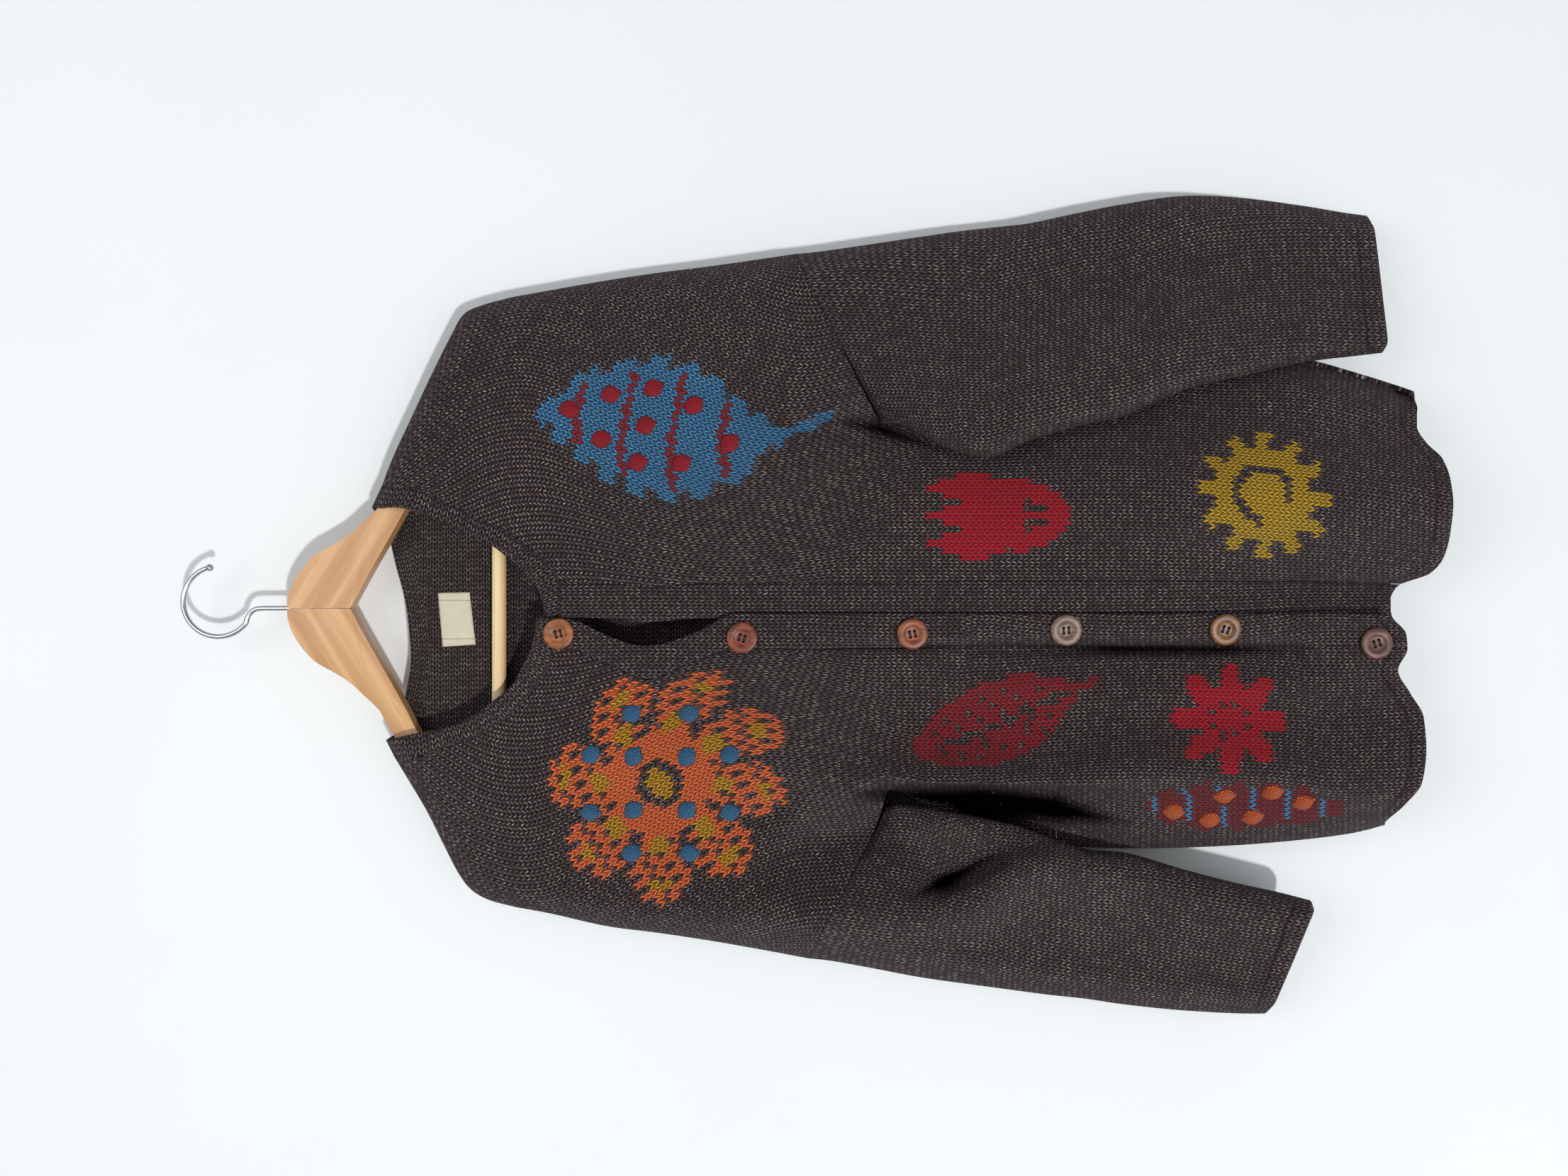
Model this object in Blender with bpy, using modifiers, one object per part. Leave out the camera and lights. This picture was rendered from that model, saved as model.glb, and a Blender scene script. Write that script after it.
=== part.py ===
"""A hand-knitted cardigan hung on a wooden hanger, modelled as the separate pieces that a maker joins.

The garment is worked out in millimetres and placed in metres, +Z up, with its front facing -Y. The
origin is the inner top of the hanger's hook, where a nail or rail carries it. Right and left are the
wearer's, so the right front is at -X.

The tables give where the outline and folds are seen from the front, on the hanger's own plane, by an
eye EYE_DISTANCE in front of it. A point that stands nearer than that plane is moved along its line of
sight, so that depth doesn't change the outline.
"""

import math

import bmesh
import bpy
from mathutils import Matrix, Vector
from mathutils.bvhtree import BVHTree

MM = 0.001
EYE_DISTANCE = 900.0
EYE_X = 10.0
EYE_Z = -444.0

WALL = 3.0
SEAM_GAP = 0.3
LABEL_THICK = 1.0

# Rows of a front, from the shoulder's neck end to the hem. The inner end is the neck or band seam.
# Columns: inner x, inner z, outer x, outer z.
LEFT_FRONT_ROWS = [
    (84, -170, 86, -145.5),
    (78, -184, 108, -154),
    (71, -199, 138, -168),
    (62, -217, 168, -182),
    (55, -233, 196, -196),
    (46, -247, 213, -206),
    (34, -262, 220, -220),
    (16, -277, 226, -242),
    (14, -296, 231, -270),
    (13, -322, 238, -310),
    (11, -344, 244, -350),
    (13, -374, 249, -390),
    (14, -404, 254, -425),
    (14, -436, 258, -452),
    (14, -462, 228, -467),
    (14, -484, 196, -483),
    (14, -504, 164, -499),
    (14, -522, 135, -514),
    (15, -550, 141, -545),
    (16, -590, 164, -588),
    (16, -630, 181, -630),
    (16, -680, 186, -680),
    (16, -730, 186, -730),
    (15, -780, 183, -780),
    (15, -825, 177, -828),
    (14, -865, 166, -868),
    (13, -900, 154, -905),
]
RIGHT_FRONT_ROWS = [
    (-116, -172, -116, -155),
    (-110, -188, -134, -166),
    (-104, -206, -156, -179),
    (-98, -222, -180, -191),
    (-88, -238, -203, -203),
    (-76, -250, -215, -213),
    (-62, -261, -222, -226),
    (-40, -272, -227, -245),
    (-36, -288, -232, -272),
    (-48, -316, -241, -312),
    (-58, -343, -246, -350),
    (-46, -374, -252, -390),
    (-36, -404, -259, -430),
    (-35, -436, -265, -462),
    (-36, -462, -236, -477),
    (-35, -484, -207, -492),
    (-35, -504, -178, -507),
    (-35, -522, -150, -522),
    (-34, -550, -160, -550),
    (-34, -590, -174, -590),
    (-34, -630, -180, -630),
    (-34, -680, -183, -680),
    (-34, -730, -183, -730),
    (-34, -780, -181, -780),
    (-34, -825, -177, -828),
    (-33, -865, -172, -866),
    (-33, -900, -166, -890),
]
FOLD_END_ROW = 13
UNDERARM_ROW = 17
LAST_ROW = 26
HEM_START_ROW = 19

# The free edge of each front band at the same rows. Column: edge x, then edge z.
LEFT_BAND_EDGE = [(-12, -277), (-12, -296), (-13, -322), (-15, -344), (-13, -374), (-12, -404)]
LEFT_BAND_EDGE_BELOW = -11.0
RIGHT_BAND_EDGE = [(-12, -272), (-15, -291), (-27, -317), (-33, -343), (-24, -376), (-10, -404)]
RIGHT_BAND_EDGE_BELOW = -9.0
BAND_START_ROW = 7

# The neck edging. Columns: free edge x, z, seam x, z.
LEFT_NECK_ROWS = [
    (70, -138, 86, -145.5),
    (69, -162, 84, -170),
    (63, -180, 78, -184),
    (56, -196, 71, -199),
    (48, -213, 62, -217),
    (42, -226, 55, -233),
    (34, -237, 46, -247),
    (23, -250, 34, -262),
    (7, -262, 16, -277),
    (-12, -267, -12, -277),
]
RIGHT_NECK_ROWS = [
    (-103, -148.5, -116, -155),
    (-98, -170, -116, -172),
    (-95, -186, -110, -188),
    (-91, -200, -104, -206),
    (-84, -214, -98, -222),
    (-75, -226, -88, -238),
    (-64, -240, -76, -250),
    (-50, -249, -62, -261),
    (-31, -257, -40, -272),
    (-12, -260, -12, -272),
]
BACK_NECK_ROWS = [
    (-103, -148.5, -116, -155),
    (-94, -158, -104, -170),
    (-65, -164, -68, -179),
    (-45, -167, -46, -182),
    (-24, -166, -24, -181),
    (0, -163, -1, -178),
    (23, -157, 25, -172),
    (50, -150, 60, -163),
    (70, -138, 86, -145.5),
]

# Rows of a sleeve from the armhole to the cuff. Columns: inner x, z, outer x, z, how far the inner
# edge lies forward, depth of the front and of the back.
LEFT_SLEEVE_ROWS = [
    (136.5, -514.8, 258, -452, 0, 26, 13),
    (134, -520, 259.5, -468, -16, 25, 13),
    (128, -537, 264, -500, -28, 24, 13),
    (117, -557, 270, -540, -34, 22, 13),
    (109, -578, 275, -575, -38, 20, 13),
    (107, -600, 278, -602, -40, 20, 13),
    (118, -624, 281, -627, -39, 20, 13),
    (129, -660, 288, -660, -36, 20, 13),
    (138, -698, 295, -696, -33, 20, 13),
    (157, -743, 301, -738, -29, 20, 13),
    (168, -790, 300, -780, -26, 19, 13),
    (178, -834, 294, -828, -24, 18, 13),
    (182, -866, 289, -858, -22, 18, 13),
    (185, -892, 286, -880, -22, 18, 13),
]
RIGHT_SLEEVE_ROWS = [
    (-151.5, -522.8, -265, -462, 0, 26, 13),
    (-150.5, -529, -267, -480, -9, 26, 13),
    (-152, -548, -272, -508, -13, 26, 13),
    (-156, -570, -279, -545, -15, 26, 13),
    (-161, -595, -284, -580, -16, 26, 13),
    (-167, -620, -288, -610, -17, 25, 13),
    (-176, -646, -292, -640, -18, 24, 13),
    (-184, -670, -295, -668, -18, 23, 13),
    (-187, -700, -299, -695, -16, 22, 13),
    (-199, -741, -303, -732, -14, 21, 13),
    (-209, -780, -305, -762, -13, 20, 13),
    (-216, -812, -306, -785, -12, 19, 13),
    (-223, -839, -306, -804, -12, 19, 13),
]
SLEEVE_BLEND_ROWS = 3.0

# Columns: z, depth of the front, depth of the back, radius of the side's curve, depth of the side.
BODY_DEPTHS = [
    (-130, 14.5, 14, 14, 0),
    (-215, 15, 14, 15, 0),
    (-260, 18, 14, 17, 0),
    (-330, 22, 15, 22, 0),
    (-400, 27, 16, 25, 0),
    (-500, 31, 17, 26, 0),
    (-560, 34, 17, 26, 4),
    (-700, 38, 17, 26, 5),
    (-950, 40, 18, 26, 5),
]

# Each fold is a list of rows. Columns: z, x, height towards the eye, half width towards the garment's
# middle, and half width away from it.
LEFT_FRONT_FOLDS = {
    "pressed_by_sleeve": [
        (-480, 135, 0, 40, 40), (-520, 140, -20, 44, 44), (-600, 150, -27, 52, 52), (-740, 172, -25, 50, 50),
        (-840, 190, 0, 40, 40),
    ],
    "hem_lobe": [
        (-600, 96, 0, 36, 36), (-700, 88, 8, 38, 38), (-800, 80, 18, 38, 38), (-930, 74, 26, 36, 36),
    ],
    "beside_band": [
        (-740, 18, 0, 22, 22), (-820, 16, -10, 24, 24), (-930, 12, -16, 26, 26),
    ],
    "shoulder_drape": [
        (-225, 150, 0, 40, 40), (-300, 140, 5, 46, 46), (-420, 118, 7, 44, 44), (-500, 100, 0, 40, 40),
    ],
    "underarm_pull": [
        (-400, 190, 0, 30, 30), (-455, 178, 7, 30, 30), (-520, 158, 5, 26, 26), (-560, 150, 0, 24, 24),
    ],
}
RIGHT_FRONT_FOLDS = {
    "overhang": [
        (-440, -160, 0, 30, 20), (-500, -146, 16, 28, 14), (-535, -140, 27, 26, 11),
        (-575, -137, 31, 25, 11), (-612, -139, 31, 25, 11), (-655, -138, 28, 26, 12),
        (-700, -130, 25, 28, 18), (-760, -127, 23, 28, 22), (-811, -130, 22, 28, 22),
        (-856, -137, 19, 26, 20), (-930, -147, 12, 26, 20),
    ],
    "underarm_hollow": [
        (-440, -186, 0, 24, 24), (-500, -170, -22, 22, 24), (-545, -168, -38, 18, 24),
        (-600, -172, -40, 18, 24), (-650, -178, -36, 18, 20), (-700, -186, -14, 18, 18),
        (-740, -186, 0, 18, 18),
    ],
    "sleeve_ridge": [
        (-340, -222, 0, 22, 22), (-420, -229, 8, 24, 24), (-500, -233, 13, 24, 24), (-560, -233, 10, 24, 24),
    ],
    "beside_band": [
        (-560, -44, 0, 12, 12), (-610, -44, -8, 13, 13), (-700, -46, -12, 14, 14), (-800, -44, -9, 14, 14),
        (-860, -42, 0, 12, 12),
    ],
    "neck_drape": [
        (-262, -100, 0, 40, 40), (-330, -105, 6, 46, 46), (-430, -108, 6, 44, 44), (-520, -96, 0, 36, 36),
    ],
    "hem_lobe": [
        (-780, -106, 0, 24, 24), (-860, -108, 5, 24, 24), (-930, -110, 8, 24, 24),
    ],
}
BACK_FOLDS = {
    "left_drape": [(-300, 120, 0, 40, 40), (-480, 100, 4, 44, 44), (-900, 90, 6, 46, 46)],
    "middle_drape": [(-280, -20, 0, 40, 40), (-500, -14, 4, 40, 40), (-900, -10, 6, 40, 40)],
    "right_drape": [(-320, -120, 0, 40, 40), (-520, -104, 4, 42, 42), (-900, -100, 6, 42, 42)],
}
LEFT_SLEEVE_FOLDS = {
    "elbow_crease": [(-560, 150, 0, 22, 22), (-620, 165, 6, 26, 26), (-700, 192, 6, 28, 28), (-780, 215, 0, 26, 26)],
    "outer_trough": [(-560, 235, 0, 24, 24), (-680, 248, -5, 26, 26), (-820, 250, -4, 26, 26), (-880, 246, 0, 24, 24)],
}
RIGHT_SLEEVE_FOLDS = {
    "ridge": [
        (-462, -231, 12, 24, 24), (-513, -234, 14, 24, 24), (-555, -233, 15, 24, 24), (-590, -222, 14, 24, 24),
        (-620, -203, 10, 24, 24), (-665, -196, 4, 22, 22), (-720, -206, 0, 22, 22),
    ],
    "inner_hollow": [
        (-500, -180, -8, 26, 26), (-555, -186, -16, 28, 28), (-600, -178, -16, 24, 24), (-640, -172, -7, 20, 20),
        (-670, -176, 0, 20, 20),
    ],
    "pocket": [(-535, -200, 0, 17, 17), (-570, -198, -8, 18, 18), (-608, -196, 0, 17, 17)],
}

# How far the cloth under the overhanging fold is tucked back below it. Columns: z, tuck.
OVERHANG_TUCK = [(-480, 0), (-540, 12), (-640, 12), (-700, 3), (-730, 0)]
OVERHANG_TUCK_X = -152.0
OVERHANG_TUCK_WIDTH = 12.0

# The front hem as seen. Columns: x, z.
HEM_LINE = [
    (-175, -886), (-166, -889), (-152, -904), (-134, -918), (-110, -921), (-86, -919), (-68, -909),
    (-51, -900), (-35, -907), (-24, -906), (-10, -895), (0, -894), (11, -899), (21, -924), (33, -934),
    (52, -939), (73, -941), (90, -939), (106, -933), (118, -921), (130, -914), (144, -914), (154, -909),
]
BACK_HEM = -893.0

OVERLAP_STEP = 5.0
OVERLAP_WIDTH = 60.0

BUTTON_SEATS = [(-24, -277), (-27, -413), (-24, -539), (-21, -653), (-20.5, -771), (-31, -883)]
BUTTON_RADIUS = 11.2
BUTTON_THICK = 3.6
BUTTON_RIM = 1.0
BUTTON_HOLE = 1.25
BUTTON_HOLE_SPREAD = 2.6

LABEL_CORNERS = [(6.3, -187), (6.8, -210.5), (-32, -215), (-33.7, -190.5)]

# Knitted bobbles on the picture motifs: rings on the flower, and places on the leaf and the fern that
# are measured across and up from the motif's middle.
BOBBLE_RADIUS = 6.4
BOBBLE_HEIGHT = 3.6
BOBBLE_LIFT = 1.0
FLOWER_MIDDLE = (-135.0, -352.0)
FLOWER_RINGS = [(56.0, 8, 22.5), (28.0, 4, 45.0)]
LEAF_MIDDLE = (130.0, -345.0)
LEAF_TILT = -12.0
LEAF_BOBBLES = [
    (0, 62), (-17, 34), (17, 34), (-28, 4), (0, 4), (28, 4), (-22, -28), (22, -28), (0, -60),
]
FERN_MIDDLE = (-152.0, -785.0)
FERN_TILT = 4.0
FERN_BOBBLES = [(0, 52), (-8, 26), (9, 14), (-8, -6), (9, -22), (0, -44)]

HANGER_X = -5.0
WOOD_HALF = 6.0
HANGER_HALF_OUTLINE = [
    (0, -77.5), (8, -78), (18, -81.5), (29, -88.5), (39, -98), (46, -110), (54, -123), (64, -134),
    (74, -144.5), (82, -149.5), (108, -164), (150, -187), (180, -202), (194, -212), (197, -222),
    (197, -240), (188, -244), (179, -240), (169, -226), (140, -204), (95, -176), (72, -164),
    (47, -150), (24, -137), (2, -125), (0, -124),
]
BAR_Z = -232.5
BAR_RADIUS = 5.2
BAR_HALF = 176.0
TENON_RADIUS = 3.4
TENON_LENGTH = 10.0
HOOK_WIRE = 2.1
HOOK_RADIUS = 26.1
HOOK_STEM_X = -5.0
STEM_DEPTH = 18.0

PALETTE = {
    "yarn": (0.068, 0.052, 0.049),
    "button": (0.37, 0.12, 0.035),
    "label": (0.66, 0.58, 0.42),
    "wood": (0.62, 0.36, 0.16),
    "bar": (0.78, 0.58, 0.35),
    "steel": (0.55, 0.55, 0.56),
}


def clear_scene():
    for obj in list(bpy.data.objects):
        bpy.data.objects.remove(obj)


def collection(name):
    group = bpy.data.collections.new(name)
    bpy.context.scene.collection.children.link(group)
    return group


def material(name, colour, roughness, metallic=0.0):
    made = bpy.data.materials.new(name)
    made.use_nodes = True
    shader = made.node_tree.nodes["Principled BSDF"]
    shader.inputs["Base Color"].default_value = (*PALETTE[colour], 1.0)
    shader.inputs["Roughness"].default_value = roughness
    shader.inputs["Metallic"].default_value = metallic
    return made


def mix(a, b, share):
    return a + (b - a) * share


def smooth(value):
    value = min(max(value, 0.0), 1.0)
    return value * value * (3.0 - 2.0 * value)


def read_row(rows, t):
    """The row at t, which may fall between two rows of the table."""
    t = min(max(t, 0.0), len(rows) - 1.0)
    low = min(int(t), len(rows) - 2)
    return [mix(a, b, t - low) for a, b in zip(rows[low], rows[low + 1])]


def read_table(rows, key):
    """The other columns of a table at a value of its first column, whose order may run either way."""
    if rows[0][0] > rows[-1][0]:
        rows = rows[::-1]
    if key <= rows[0][0]:
        return list(rows[0][1:])
    for low, high in zip(rows, rows[1:]):
        if key <= high[0]:
            share = (key - low[0]) / (high[0] - low[0])
            return [mix(a, b, share) for a, b in zip(low[1:], high[1:])]
    return list(rows[-1][1:])


def in_place(x, y, z):
    """The point that stands at depth y and is seen at x, z on the hanger's plane."""
    scale = (EYE_DISTANCE + y) / EYE_DISTANCE
    return Vector((EYE_X + (x - EYE_X) * scale, y, EYE_Z + (z - EYE_Z) * scale))


def edge_distance(x, z, line):
    best = 1e9
    for (ax, az), (bx, bz) in zip(line, line[1:]):
        dx, dz = bx - ax, bz - az
        share = ((x - ax) * dx + (z - az) * dz) / (dx * dx + dz * dz)
        share = min(max(share, 0.0), 1.0)
        best = min(best, math.hypot(x - ax - dx * share, z - az - dz * share))
    return best


def roundness(distance, radius):
    """How far the cloth stands from its side's middle, from 0 at the edge to 1 at radius from it."""
    rest = 1.0 - min(distance / radius, 1.0)
    return math.sqrt(max(1.0 - rest * rest, 0.0))


def fold_height(folds, x, z):
    total = 0.0
    for rows in folds.values():
        top, bottom = rows[0][0], rows[-1][0]
        if z > top or z < bottom - 60.0:
            continue
        middle, height, inward, outward = read_table(rows, z)
        width = outward if abs(x) > abs(middle) else inward
        total += height * math.exp(-(((x - middle) / width) ** 2))
    return total


SHOULDER_TURN = (0.0, 0.06, 0.2, 0.4, 0.65)
BACK_TOP_ROWS = 9.0
BACK_TOP_LINE = [(row[2], row[3]) for row in BACK_NECK_ROWS]
FRONT_ROWS = {"left": LEFT_FRONT_ROWS, "right": RIGHT_FRONT_ROWS}
FRONT_FOLDS = {"left": LEFT_FRONT_FOLDS, "right": RIGHT_FRONT_FOLDS}
SLEEVE_ROWS = {"left": LEFT_SLEEVE_ROWS, "right": RIGHT_SLEEVE_ROWS}
SLEEVE_FOLDS = {"left": LEFT_SLEEVE_FOLDS, "right": RIGHT_SLEEVE_FOLDS}
SIGN = {"left": 1.0, "right": -1.0}


def closed_edges(side):
    """The shoulder line down to the armhole, and the side seam from the underarm, where front meets back."""
    outer = [(row[2], row[3]) for row in FRONT_ROWS[side]]
    neck = LEFT_NECK_ROWS[0] if side == "left" else RIGHT_NECK_ROWS[0]
    return [[(neck[0], neck[1])] + outer[: FOLD_END_ROW + 1], outer[UNDERARM_ROW:]]


CLOSED = {side: closed_edges(side) for side in ("left", "right")}


def body_roundness(side, x, z, radius):
    return roundness(min(edge_distance(x, z, line) for line in CLOSED[side]), radius)


def front_y(side, x, z):
    """Depth of a front's outer face where it is seen at x, z."""
    front, _, radius, middle = read_table(BODY_DEPTHS, z)
    folded = front + fold_height(FRONT_FOLDS[side], x, z)
    if side == "right":
        near = 1.0 - smooth((-x - 30.0) / OVERLAP_WIDTH)
        folded += OVERLAP_STEP * near
    return middle - SEAM_GAP / 2 - max(folded, 6.0) * body_roundness(side, x, z, radius)


def back_y(side, x, z):
    _, back, radius, middle = read_table(BODY_DEPTHS, z)
    folded = back + fold_height(BACK_FOLDS, x, z)
    return middle + SEAM_GAP / 2 + folded * body_roundness(side, x, z, radius)


def hem_shift(x, z, t, straight_hem):
    share = max(t - HEM_START_ROW, 0.0) / (LAST_ROW - HEM_START_ROW)
    return (read_table(HEM_LINE, x)[0] - straight_hem) * share * share


def front_point(side, t, u):
    """A point of a front's outer face, u from its band seam at 0 to its outer edge at 1."""
    x_in, z_in, x_out, z_out = read_row(FRONT_ROWS[side], t)
    x, z = mix(x_in, x_out, u), mix(z_in, z_out, u)
    last = FRONT_ROWS[side][-1]
    z += hem_shift(x, z, t, mix(last[1], last[3], u))
    y = front_y(side, x, z)
    if side == "right":
        tuck = read_table(OVERHANG_TUCK, z)[0]
        x += tuck * math.exp(-(((x - OVERHANG_TUCK_X) / OVERHANG_TUCK_WIDTH) ** 2))
    return in_place(x, y, z)


def band_edge(side, t):
    """The free edge of a band at row t."""
    table = LEFT_BAND_EDGE if side == "left" else RIGHT_BAND_EDGE
    below = LEFT_BAND_EDGE_BELOW if side == "left" else RIGHT_BAND_EDGE_BELOW
    if t <= BAND_START_ROW + len(table) - 1:
        return read_row(table, t - BAND_START_ROW)
    return [below, read_row(FRONT_ROWS[side], t)[1]]


def band_point(side, t, v):
    """A point of a front band, v from its seam at 0 to its free edge at 1."""
    x_in, z_in, _, _ = read_row(FRONT_ROWS[side], t)
    x_edge, z_edge = band_edge(side, t)
    gap = -SIGN[side] * SEAM_GAP
    x, z = mix(x_in + gap, x_edge, v), mix(z_in, z_edge, v)
    last = FRONT_ROWS[side][-1]
    z += hem_shift(x, z, t, last[1])
    y = front_y(side, x, z)
    return in_place(x, y, z)


def neck_point(side, s, v):
    """A point of the front's neck edging, v from its seam at 0 to its free edge at 1."""
    rows = LEFT_NECK_ROWS if side == "left" else RIGHT_NECK_ROWS
    x_edge, z_edge, x_seam, z_seam = read_row(rows, s)
    length = math.hypot(x_edge - x_seam, z_edge - z_seam)
    v = mix(SEAM_GAP / length, 1.0, v)
    x, z = mix(x_seam, x_edge, v), mix(z_seam, z_edge, v)
    return in_place(x, front_y(side, x, z), z)


def back_side(x):
    return "left" if x > HANGER_X else "right"


def back_neck_point(s, v):
    x_edge, z_edge, x_seam, z_seam = read_row(BACK_NECK_ROWS, s)
    length = math.hypot(x_edge - x_seam, z_edge - z_seam)
    v = mix(SEAM_GAP / length, 1.0, v)
    x, z = mix(x_seam, x_edge, v), mix(z_seam, z_edge, v)
    return in_place(x, back_y(back_side(x), x, z), z)


def back_point(t, u):
    """A point of the back's outer face, u from the right edge at 0 to the left edge at 1."""
    _, _, x_right, z_right = read_row(RIGHT_FRONT_ROWS, t)
    _, _, x_left, z_left = read_row(LEFT_FRONT_ROWS, t)
    x = mix(x_right, x_left, u)
    z_side = mix(z_right, z_left, u)
    top_x = mix(BACK_TOP_LINE[0][0], BACK_TOP_LINE[-1][0], u)
    top_z = mix(BACK_TOP_LINE[0][1], BACK_TOP_LINE[-1][1], u)
    drop = read_table(BACK_TOP_LINE, top_x)[0] - top_z
    z = z_side + drop * max(1.0 - t / BACK_TOP_ROWS, 0.0)
    bow = 4.0 * u * (1.0 - u)
    last = mix(RIGHT_FRONT_ROWS[-1][3], LEFT_FRONT_ROWS[-1][3], u)
    hem_share = max(t - HEM_START_ROW, 0.0) / (LAST_ROW - HEM_START_ROW)
    z += (BACK_HEM - last) * hem_share * hem_share * min(1.0, bow * 3.0)
    return in_place(x, back_y(back_side(x), x, z), z)


def sleeve_point(side, t, u, front):
    """A point of a sleeve's outer face, u from its inner edge at 0 to its outer edge at 1."""
    rows = SLEEVE_ROWS[side]
    x_in, z_in, x_out, z_out, forward, front_depth, back_depth = read_row(rows, t)
    x, z = mix(x_in, x_out, u), mix(z_in, z_out, u)
    body_front, body_back, radius, middle = read_table(BODY_DEPTHS, z)
    share = smooth(t / SLEEVE_BLEND_ROWS)
    inner = [(row[0], row[1]) for row in rows]
    outer = [(row[2], row[3]) for row in rows]
    above = CLOSED[side][0][-3:]
    distance = min(edge_distance(x, z, inner), edge_distance(x, z, outer), edge_distance(x, z, above))
    rounding = roundness(distance, mix(radius, 20.0, share))
    middle = mix(middle, 0.0, share) + forward * (1.0 - smooth(u / 0.8))
    if front:
        upper = max(body_front + fold_height(FRONT_FOLDS[side], x, z), 6.0)
        own = front_depth + fold_height(SLEEVE_FOLDS[side], x, z)
        y = middle - max(mix(upper, own, share), 6.0) * rounding
    else:
        upper = body_back + fold_height(BACK_FOLDS, x, z)
        own = mix(6.0, back_depth, smooth(u / 0.7))
        y = middle + mix(upper, own, share) * rounding
    return in_place(x, y, z)


def wall_normal(point, row, column, step_row, step_column):
    """The outward normal of the face that point() describes, from small steps each way."""
    along = point(row + step_row, column) - point(row - step_row, column)
    across = point(row, column + step_column) - point(row, column - step_column)
    normal = along.cross(across)
    return normal.normalized() if normal.length > 1e-12 else Vector((0.0, -1.0, 0.0))


def without(direction, axis):
    """The direction with its share along an axis taken out."""
    rest = direction - axis * direction.dot(axis)
    return rest.normalized() if rest.length > 1e-6 else direction


EYE = Vector((EYE_X, -EYE_DISTANCE, EYE_Z))
SIDEWAYS = Vector((0.0, 1.0, 0.0))


def sight_plane(a, b):
    """The normal of the plane that holds the eye and both points."""
    normal = (a - EYE).cross(b - EYE)
    return normal.normalized()


def make_object(name, mesh, group, finish):
    obj = bpy.data.objects.new(name, mesh)
    group.objects.link(obj)
    mesh.materials.clear()
    mesh.materials.append(finish)
    return obj


def sheet_wall(name, outer, inner, ring, group, finish):
    """A closed wall lofted between an outer and an inner grid of points, each a list of rows."""
    rows, columns = len(outer), len(outer[0])
    bm = bmesh.new()
    faces = []
    grids = [[[bm.verts.new(p * MM) for p in row] for row in grid] for grid in (outer, inner)]
    spans = range(columns) if ring else range(columns - 1)
    for r in range(rows - 1):
        for c in spans:
            d = (c + 1) % columns
            for layer, flip in ((grids[0], False), (grids[1], True)):
                quad = [layer[r][c], layer[r + 1][c], layer[r + 1][d], layer[r][d]]
                faces.append(bm.faces.new(quad[::-1] if flip else quad))
    for r in (0, rows - 1):
        for c in spans:
            d = (c + 1) % columns
            quad = [grids[0][r][c], grids[0][r][d], grids[1][r][d], grids[1][r][c]]
            faces.append(bm.faces.new(quad if r == 0 else quad[::-1]))
    if not ring:
        for c in (0, columns - 1):
            for r in range(rows - 1):
                quad = [grids[0][r][c], grids[1][r][c], grids[1][r + 1][c], grids[0][r + 1][c]]
                faces.append(bm.faces.new(quad if c == 0 else quad[::-1]))
    bmesh.ops.recalc_face_normals(bm, faces=bm.faces)
    if bm.calc_volume(signed=True) < 0:
        bmesh.ops.reverse_faces(bm, faces=bm.faces)
    mesh = bpy.data.meshes.new(name)
    bm.to_mesh(mesh)
    bm.free()
    mesh.shade_smooth()
    return make_object(name, mesh, group, finish)


def within(direction, planes):
    """The direction turned into the planes that have these normals, of which there are up to two."""
    if len(planes) == 2 and planes[0].cross(planes[1]).length > 0.05:
        line = planes[0].cross(planes[1]).normalized()
        return line if line.dot(direction) > 0 else -line
    for plane in planes:
        direction = without(direction, plane)
    return direction


def panel(name, point, rows, columns_at, group, finish, outward, closed_last=None, closed_first=None,
          closed_rows=(), thickness=WALL):
    """A panel of cloth. point(row, column) gives its outer face and outward is +1 or -1 for its winding.

    closed_last and closed_first say, for a row, whether the cloth turns to its neighbour's edge there,
    and closed_rows lists the end rows that do.
    """
    outer, inner = [], []
    for index, row in enumerate(rows):
        columns = columns_at(row)
        line_outer, line_inner = [], []
        for place, column in enumerate(columns):
            at = point(row, column)
            small = 1e-6
            step_row = 1e-4
            normal = wall_normal(point, row, min(max(column, small), 1.0 - small), step_row, small)
            normal = normal * outward
            planes = []
            if place in (0, len(columns) - 1):
                closed = closed_first if place == 0 else closed_last
                near = rows[index + 1] if index + 1 < len(rows) else rows[index - 1]
                near_column = columns_at(near)[place]
                planes.append(SIDEWAYS if closed and closed(row) else
                              sight_plane(at, point(near, near_column)))
            if index in (0, len(rows) - 1):
                near = columns[place + 1] if place + 1 < len(columns) else columns[place - 1]
                planes.append(SIDEWAYS if index in closed_rows or index - len(rows) in closed_rows else
                              sight_plane(at, point(row, near)))
            normal = within(normal, planes)
            line_outer.append(at)
            line_inner.append(at - normal * thickness)
        outer.append(line_outer)
        inner.append(line_inner)
    return sheet_wall(name, outer, inner, False, group, finish)


def edge_columns(side, t, inner_columns, curve_steps=4):
    """Column places along a front's row: even over the panel, then closer as the cloth turns to its side."""
    x_in, z_in, x_out, z_out = read_row(FRONT_ROWS[side], t)
    length = math.hypot(x_out - x_in, z_out - z_in)
    radius = read_table(BODY_DEPTHS, z_out)[2]
    turns = []
    for k in range(curve_steps, -1, -1):
        reach = radius * (1.0 - math.cos(math.pi / 2 * k / curve_steps)) * 1.15
        turns.append(1.0 - min(reach / length, 0.5 * k / curve_steps))
    first = turns[0]
    return [first * k / inner_columns for k in range(inner_columns)] + turns


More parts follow.
